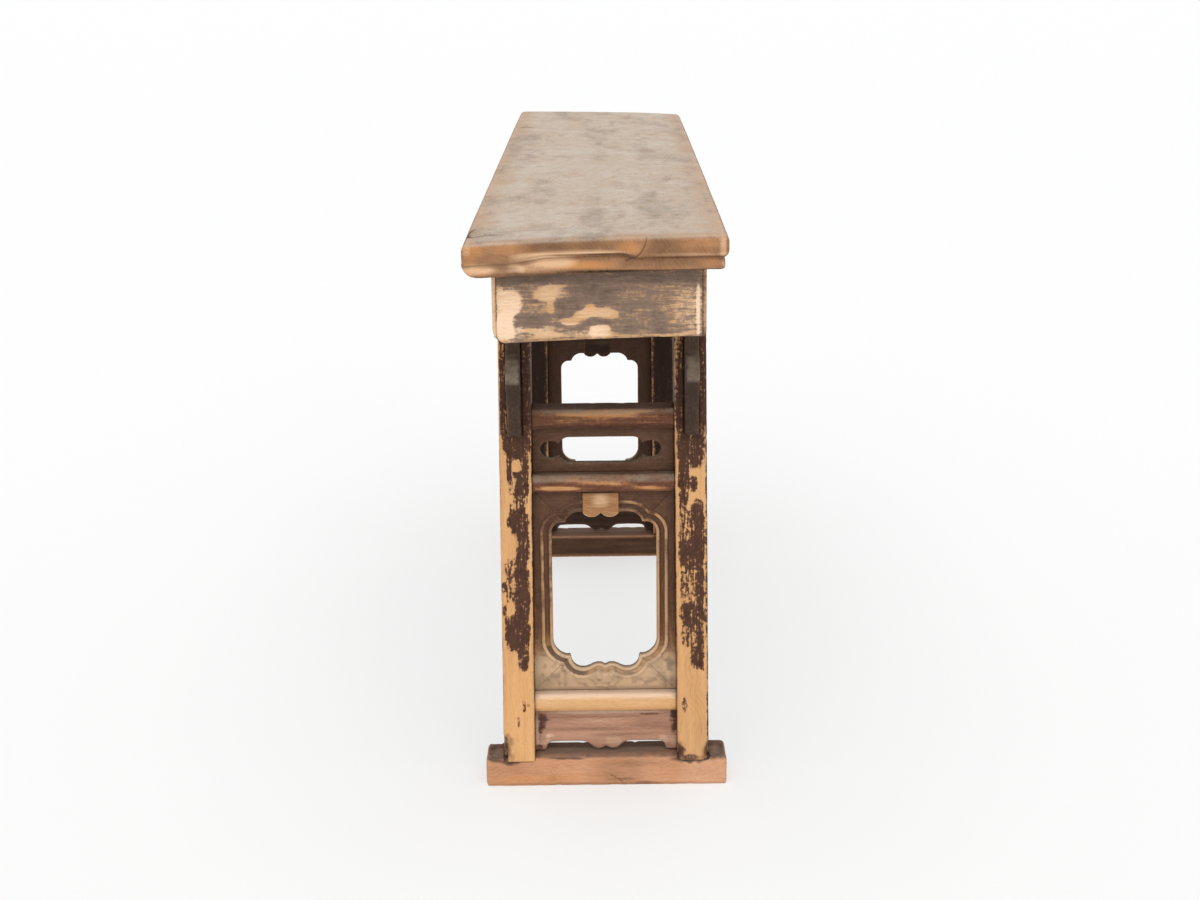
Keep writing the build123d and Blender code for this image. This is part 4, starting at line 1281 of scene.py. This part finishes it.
# %% The noises of old wood
PATTERNS = {
    "fibres": ("along", 1.5, 4), "pores": ("along", 0.8, 1), "streaks": ("along", 2.6, 4),
    "bands": ("along", 20, 2), "flakes": ("open", 5, 4), "mottle": ("open", 16, 3),
    "clouds": ("open", 75, 3),
}
DRAWN_OUT = 9  # times longer along the grain than across it
RING_GAP = 5 * MM  # between growth rings
MARKS = ("coat", "arris", "dirt_and_shade", "rot", "inside_shade", "split", "pale", "ochre", "dusted", "wiped")
print("patterns:", ", ".join(PATTERNS))


# %% The recipe
def aged_elm(
    name, grain, bare, streak, pale_colour, lacquer, shade,
    dust="#a08c79", dust_share=0.45, soft=0.35, torn=0.6, crackle=0.6, stained=0.55, pith=(0, 0, 0),
):
    """Makes the material.

    soft is how gently the lacquer's edge fades, torn how ragged that edge is, crackle how
    much of that is in small flakes, stained how much of its colour the wood near it has
    taken, and pith a point, in millimetres, on the axis of the tree.
    """
    material = bpy.data.materials.new(name)
    material.use_nodes = True
    tree = material.node_tree
    shader = tree.nodes["Principled BSDF"]
    add = partial(add_node, tree)
    place = add("ShaderNodeTexCoord", out="Object")
    scale = [1 / MM] * 3
    spaces = {"open": add("ShaderNodeMapping", {"Vector": place, "Scale": scale})}
    scale["XYZ".index(grain)] /= DRAWN_OUT
    spaces["along"] = add("ShaderNodeMapping", {"Vector": place, "Scale": scale})
    marks = {what: add("ShaderNodeAttribute", out="Fac", attribute_name=what) for what in MARKS}

    # every noise is stretched, so that it fills the range from 0 to 1
    noise = {}
    for what, (space, size, detail) in PATTERNS.items():
        settings = {"Vector": spaces[space], "Scale": 1 / size, "Detail": detail, "Roughness": 0.6}
        raw = add("ShaderNodeTexNoise", settings)
        noise[what] = add(RANGE, {"Value": raw, "From Min": 0.3, "From Max": 0.7})

    # growth rings about the pith, which wander with the tree and fade in and out
    slow = {"Vector": spaces["open"], "Scale": 1 / 90, "Detail": 2}
    wander = add("ShaderNodeTexNoise", slow, out=1)
    swing = add("ShaderNodeVectorMath", {0: wander, "Scale": 0.05}, operation="SCALE")
    swung = add("ShaderNodeVectorMath", {0: place, 1: swing}, operation="ADD")
    centre = [-value * MM - 0.025 for value in pith]
    centred = add("ShaderNodeMapping", {"Vector": swung, "Location": centre})
    rings = add(
        "ShaderNodeTexWave",
        {"Vector": centred, "Scale": 2 * math.pi / 20 / RING_GAP, "Distortion": 1.5, "Detail": 2},
        out=1, wave_type="RINGS", rings_direction=grain, wave_profile="SAW",
    )
    rings = add(MATH, {0: rings, 1: noise["bands"]}, operation="MULTIPLY")
    fibres = add(MATH, {0: noise["fibres"], 1: 0.35}, operation="MULTIPLY")
    grained = add(MATH, {0: rings, 1: 0.6, 2: fibres}, operation="MULTIPLY_ADD")
    pored = add(RANGE, {"Value": noise["pores"], "From Min": 0.8, "From Max": 1, "To Max": 0.22})
    cloudy = add(MATH, {0: noise["bands"], 1: 0.4}, operation="MULTIPLY")
    raggedness = {0: noise["streaks"], 1: 0.8 * torn, 2: -0.35 - 0.4 * torn}
    tint_edge = add(MATH, raggedness, operation="MULTIPLY_ADD")
    pale_share = add(MATH, {0: marks["pale"], 1: 1.5, 2: tint_edge}, operation="MULTIPLY_ADD", use_clamp=True)
    honey = add(MATH, {0: marks["ochre"], 1: 1.5, 2: tint_edge}, operation="MULTIPLY_ADD", use_clamp=True)

    # lacquer: the painted value, made ragged along the grain where there is some
    ragged = add(MATH, {0: noise["flakes"], 1: crackle}, operation="MULTIPLY")
    ragged = add(MATH, {0: noise["streaks"], 1: 0.9, 2: ragged}, operation="MULTIPLY_ADD")
    some = add(RANGE, {"Value": marks["coat"], "From Max": 0.35, "To Min": 0.4 * torn, "To Max": torn})
    ragged = add(MATH, {0: ragged, 1: some, 2: marks["coat"]}, operation="MULTIPLY_ADD")
    rubbed = add(MATH, {0: noise["mottle"], 1: marks["arris"]}, operation="MULTIPLY")
    left = add(MATH, {0: rubbed, 1: -0.8, 2: ragged}, operation="MULTIPLY_ADD")
    smooth = {"interpolation_type": "SMOOTHSTEP"}
    edge = 0.5 + (0.9 + crackle) / 2 * torn  # the lacquer ends where it is worth this much
    coat = add(RANGE, {"Value": left, "From Min": edge - soft / 2, "From Max": edge + soft / 2}, **smooth)
    stain = add(
        RANGE,
        {"Value": left, "From Min": edge - 0.6, "From Max": edge + 0.1, "To Max": stained}, **smooth
    )
    thick = add(RANGE, {"Value": left, "From Min": edge, "From Max": edge + 0.7}, **smooth)
    uneven = add(MATH, {0: noise["mottle"], 1: 0.5}, operation="MULTIPLY")
    uneven = add(MATH, {0: noise["fibres"], 1: 0.5, 2: uneven}, operation="MULTIPLY_ADD")
    dark_share = add(MATH, {0: uneven, 1: thick}, operation="MULTIPLY")
    skin = add(
        "ShaderNodeMix", {0: dark_share, 6: linear(lacquer), 7: linear(shade)}, out=2, data_type="RGBA"
    )

    # dirt and painted shade in corners, rot and cracks, painted shade inside between the ends, and dust on
    # what faces up
    uneven = add(MATH, {0: noise["streaks"], 1: 0.5, 2: 0.65}, operation="MULTIPLY_ADD")
    dirt_and_shade = add(MATH, {0: marks["dirt_and_shade"], 1: uneven}, operation="MULTIPLY")
    rotten = add(MATH, {0: marks["rot"], 1: uneven}, operation="MULTIPLY", use_clamp=True)
    dirt_and_shade = add(MATH, {0: dirt_and_shade, 1: marks["split"]}, operation="MAXIMUM", use_clamp=True)
    dim = add(MATH, {0: noise["bands"], 1: 0.08, 2: 0.92}, operation="MULTIPLY_ADD")
    inside_shade = add(MATH, {0: dim, 1: marks["inside_shade"]}, operation="MULTIPLY")
    facing = add("ShaderNodeNewGeometry", out="Normal")
    upward = add("ShaderNodeSeparateXYZ", {0: facing}, out="Z")
    flat = add(RANGE, {"Value": upward, "From Min": 0.45, "From Max": 0.95, "To Max": dust_share}, **smooth)
    dusty = add(MATH, {0: 1, 1: marks["wiped"]}, operation="SUBTRACT")
    dusty = add(MATH, {0: dusty, 1: flat}, operation="MULTIPLY")
    dusty = add(MATH, {0: dusty, 1: marks["dusted"]}, operation="MAXIMUM")
    patchy = add(MATH, {0: noise["mottle"], 1: 0.4, 2: 0.4}, operation="MULTIPLY_ADD")
    patchy = add(MATH, {0: noise["clouds"], 1: 0.38, 2: patchy}, operation="MULTIPLY_ADD")
    thinned = {"Value": noise["flakes"], "From Min": 0.55, "From Max": 1, "To Min": 1, "To Max": 0.5}
    flaked = add(RANGE, thinned)
    patchy = add(MATH, {0: patchy, 1: flaked}, operation="MULTIPLY")
    dusty = add(MATH, {0: dusty, 1: patchy}, operation="MULTIPLY", use_clamp=True)

    # what lies over what, from the bare wood outwards
    colour = linear(bare)
    for share, over in (
        (grained, linear(streak)),
        (cloudy, linear(streak)),
        (honey, linear("#cf8f54")),
        (pale_share, linear(pale_colour)),
        (pored, linear(shade)),
        (stain, linear(lacquer)),
        (coat, skin),
        (rotten, linear("#68493a")),
        # dirt and painted shade, in one dark colour
        (dirt_and_shade, linear("#332216")),
        # painted shade inside the table, near black
        (inside_shade, linear("#20120a")),
        (dusty, linear(dust)),
    ):
        colour = add("ShaderNodeMix", {0: share, 6: colour, 7: over}, out=2, data_type="RGBA")
    tree.links.new(colour, shader.inputs["Base Color"])

    # clean lacquer still has some sheen; wood, dust and the painted inside shade have little
    dull = add(MATH, {0: dusty, 1: inside_shade}, operation="MAXIMUM")
    clean = add(MATH, {0: 1, 1: dull}, operation="SUBTRACT")
    sheen = add(MATH, {0: coat, 1: clean}, operation="MULTIPLY")
    rough = add(MATH, {0: noise["fibres"], 1: 0.12, 2: 0.74}, operation="MULTIPLY_ADD")
    rough = add(MATH, {0: sheen, 1: -0.22, 2: rough}, operation="MULTIPLY_ADD")
    tree.links.new(rough, shader.inputs["Roughness"])
    shader.inputs["IOR"].default_value = 1.45
    shader.inputs["Specular IOR Level"].default_value = 0.2
    relief = add(MATH, {0: noise["fibres"], 1: 0.4, 2: coat}, operation="MULTIPLY_ADD")
    relief = add(MATH, {0: pored, 1: -0.5, 2: relief}, operation="MULTIPLY_ADD")
    relief = add(MATH, {0: noise["flakes"], 1: 0.3, 2: relief}, operation="MULTIPLY_ADD")
    bump = add("ShaderNodeBump", {"Height": relief, "Strength": 0.5, "Distance": 0.5 * MM})
    tree.links.new(bump, shader.inputs["Normal"])
    return material


# %% [markdown]
# Each group of pieces now gets its own elm.  The colours are bare wood, its dark grain,
# pale wood (bleached, and a painted highlight on the plank's step and the stretchers),
# lacquer and dark lacquer.

# %% Materials
dark_lacquer = ("#593a2b", "#3a2419")
elms = {
    "plank": aged_elm(
        "weathered_elm_plank", "X", "#b08460", "#866045", "#deb58f", "#7d6350", "#5b4638",
        dust="#ccc1b3", dust_share=0.95, soft=0.6, torn=0.35, pith=(0, -220, 700),
    ),
    "apron_y": aged_elm(
        "greyed_elm_end_apron", "Y", "#d8ae80", "#bb8e64", "#f1cfae", "#846e5e", "#5d4c40",
        soft=0.6, torn=0.85, stained=0.85, pith=(800, 0, 600),
    ),
    "apron_x": aged_elm(
        "greyed_elm_long_apron", "X", "#c8996e", "#a0734f", "#e8c7a4", "#67503f", "#46362c",
        soft=0.6, pith=(0, 60, 600),
    ),
    "leg": aged_elm(
        "honey_elm_leg", "Z", "#e5b27c", "#c48f5c", "#f0cb9c", *dark_lacquer,
        soft=0.3, torn=1, crackle=1, stained=0.4, pith=(500, 60, 0),
    ),
    "sled": aged_elm(
        "reddish_elm_sled", "Y", "#d39e7a", "#b37d59", "#e4b696", "#6d5040", "#4a362b",
        dust="#72655a", dust_share=0.9, pith=(560, 0, -60),
    ),
    "stretcher": aged_elm(
        "lacquered_elm_stretcher", "Y", "#cd9364", "#a8703f", "#dfae7c", "#744a35", "#47291d",
        dust="#9a8775", dust_share=0.6, soft=0.8, torn=0.7, stained=0.6, pith=(560, 0, 500),
    ),
    "low_stretcher": aged_elm(
        "bare_elm_stretcher", "Y", "#dcae7c", "#c8965f", "#ecc9a9", *dark_lacquer,
        dust="#e2cab4", dust_share=0.8, pith=(560, 0, 60),
    ),
    "panel_y": aged_elm(
        "lacquered_elm_board", "Y", "#c3976b", "#9c724b", "#d2b08c", "#6b4b39", "#45301f",
        dust="#b8a590", soft=0.6, pith=(500, 0, 300),
    ),
    "panel_z": aged_elm(
        "lacquered_elm_upright", "Z", "#c69665", "#9c724b", "#d6b692", "#6f4e3b", "#483223",
        dust="#b8a590", soft=0.6, pith=(500, 30, 0),
    ),
    "block": aged_elm(
        "pale_elm_block", "Y", "#ae7f56", "#936540", "#dcb890", "#7d5b45", "#5d4535",
        soft=0.6, pith=(560, 0, 480),
    ),
    "skirt": aged_elm(
        "rosy_elm_skirt", "Y", "#c1957b", "#9d735c", "#e2c2a6", "#65453a", "#402a24",
        soft=0.6, pith=(500, 0, 10),
    ),
    "spandrel": aged_elm(
        "lacquered_elm_spandrel", "Z", "#8f6d4d", "#6a4c35", "#c4a27c", "#46352a", "#2f231b",
        dust="#8b7b6b", dust_share=0.5, soft=0.8, torn=0.5, pith=(560, 60, 0),
    ),
    "hidden": aged_elm(
        "plain_elm", "Y", "#b68d65", "#946c48", "#cfab84", "#6a5040", "#4a382e", pith=(300, 0, 700)
    ),
    "peg": aged_elm(
        "honey_elm_peg", "X", "#c4935f", "#a97745", "#d6ab78", *dark_lacquer, pith=(570, 130, 300)
    ),
}
wood_of = {
    "top_plank": "plank", "end_apron": "apron_y", "long_apron": "apron_x", "leg": "leg",
    "sled_foot": "sled", "lower_stretcher": "low_stretcher", "upper_stretcher": "stretcher",
    "middle_stretcher": "stretcher", "pierced_panel": "panel_y", "frame_top": "panel_y",
    "frame_bottom": "panel_y", "frame_front": "panel_z", "frame_back": "panel_z",
    "centre_block": "block", "skirt": "skirt", "spandrel": "spandrel", "cross_tie": "hidden",
    "stretcher_pegs": "peg", "foot_wedges": "hidden",
}
print(len(elms), "woods")

# %% Giving each piece its wood
for node, cad_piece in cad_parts.items():
    elm = elms[next(wood for start, wood in wood_of.items() if node.startswith(start))]
    if node in aged:
        aged[node].data.materials.clear()
        aged[node].data.materials.append(elm)
    for slot_number in range(len(cad_piece.material_slots)):
        cad_piece.material_slots[slot_number].material = elm
print(len(aged), "aged pieces and", len(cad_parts) - len(aged), "CAD pieces have their wood")
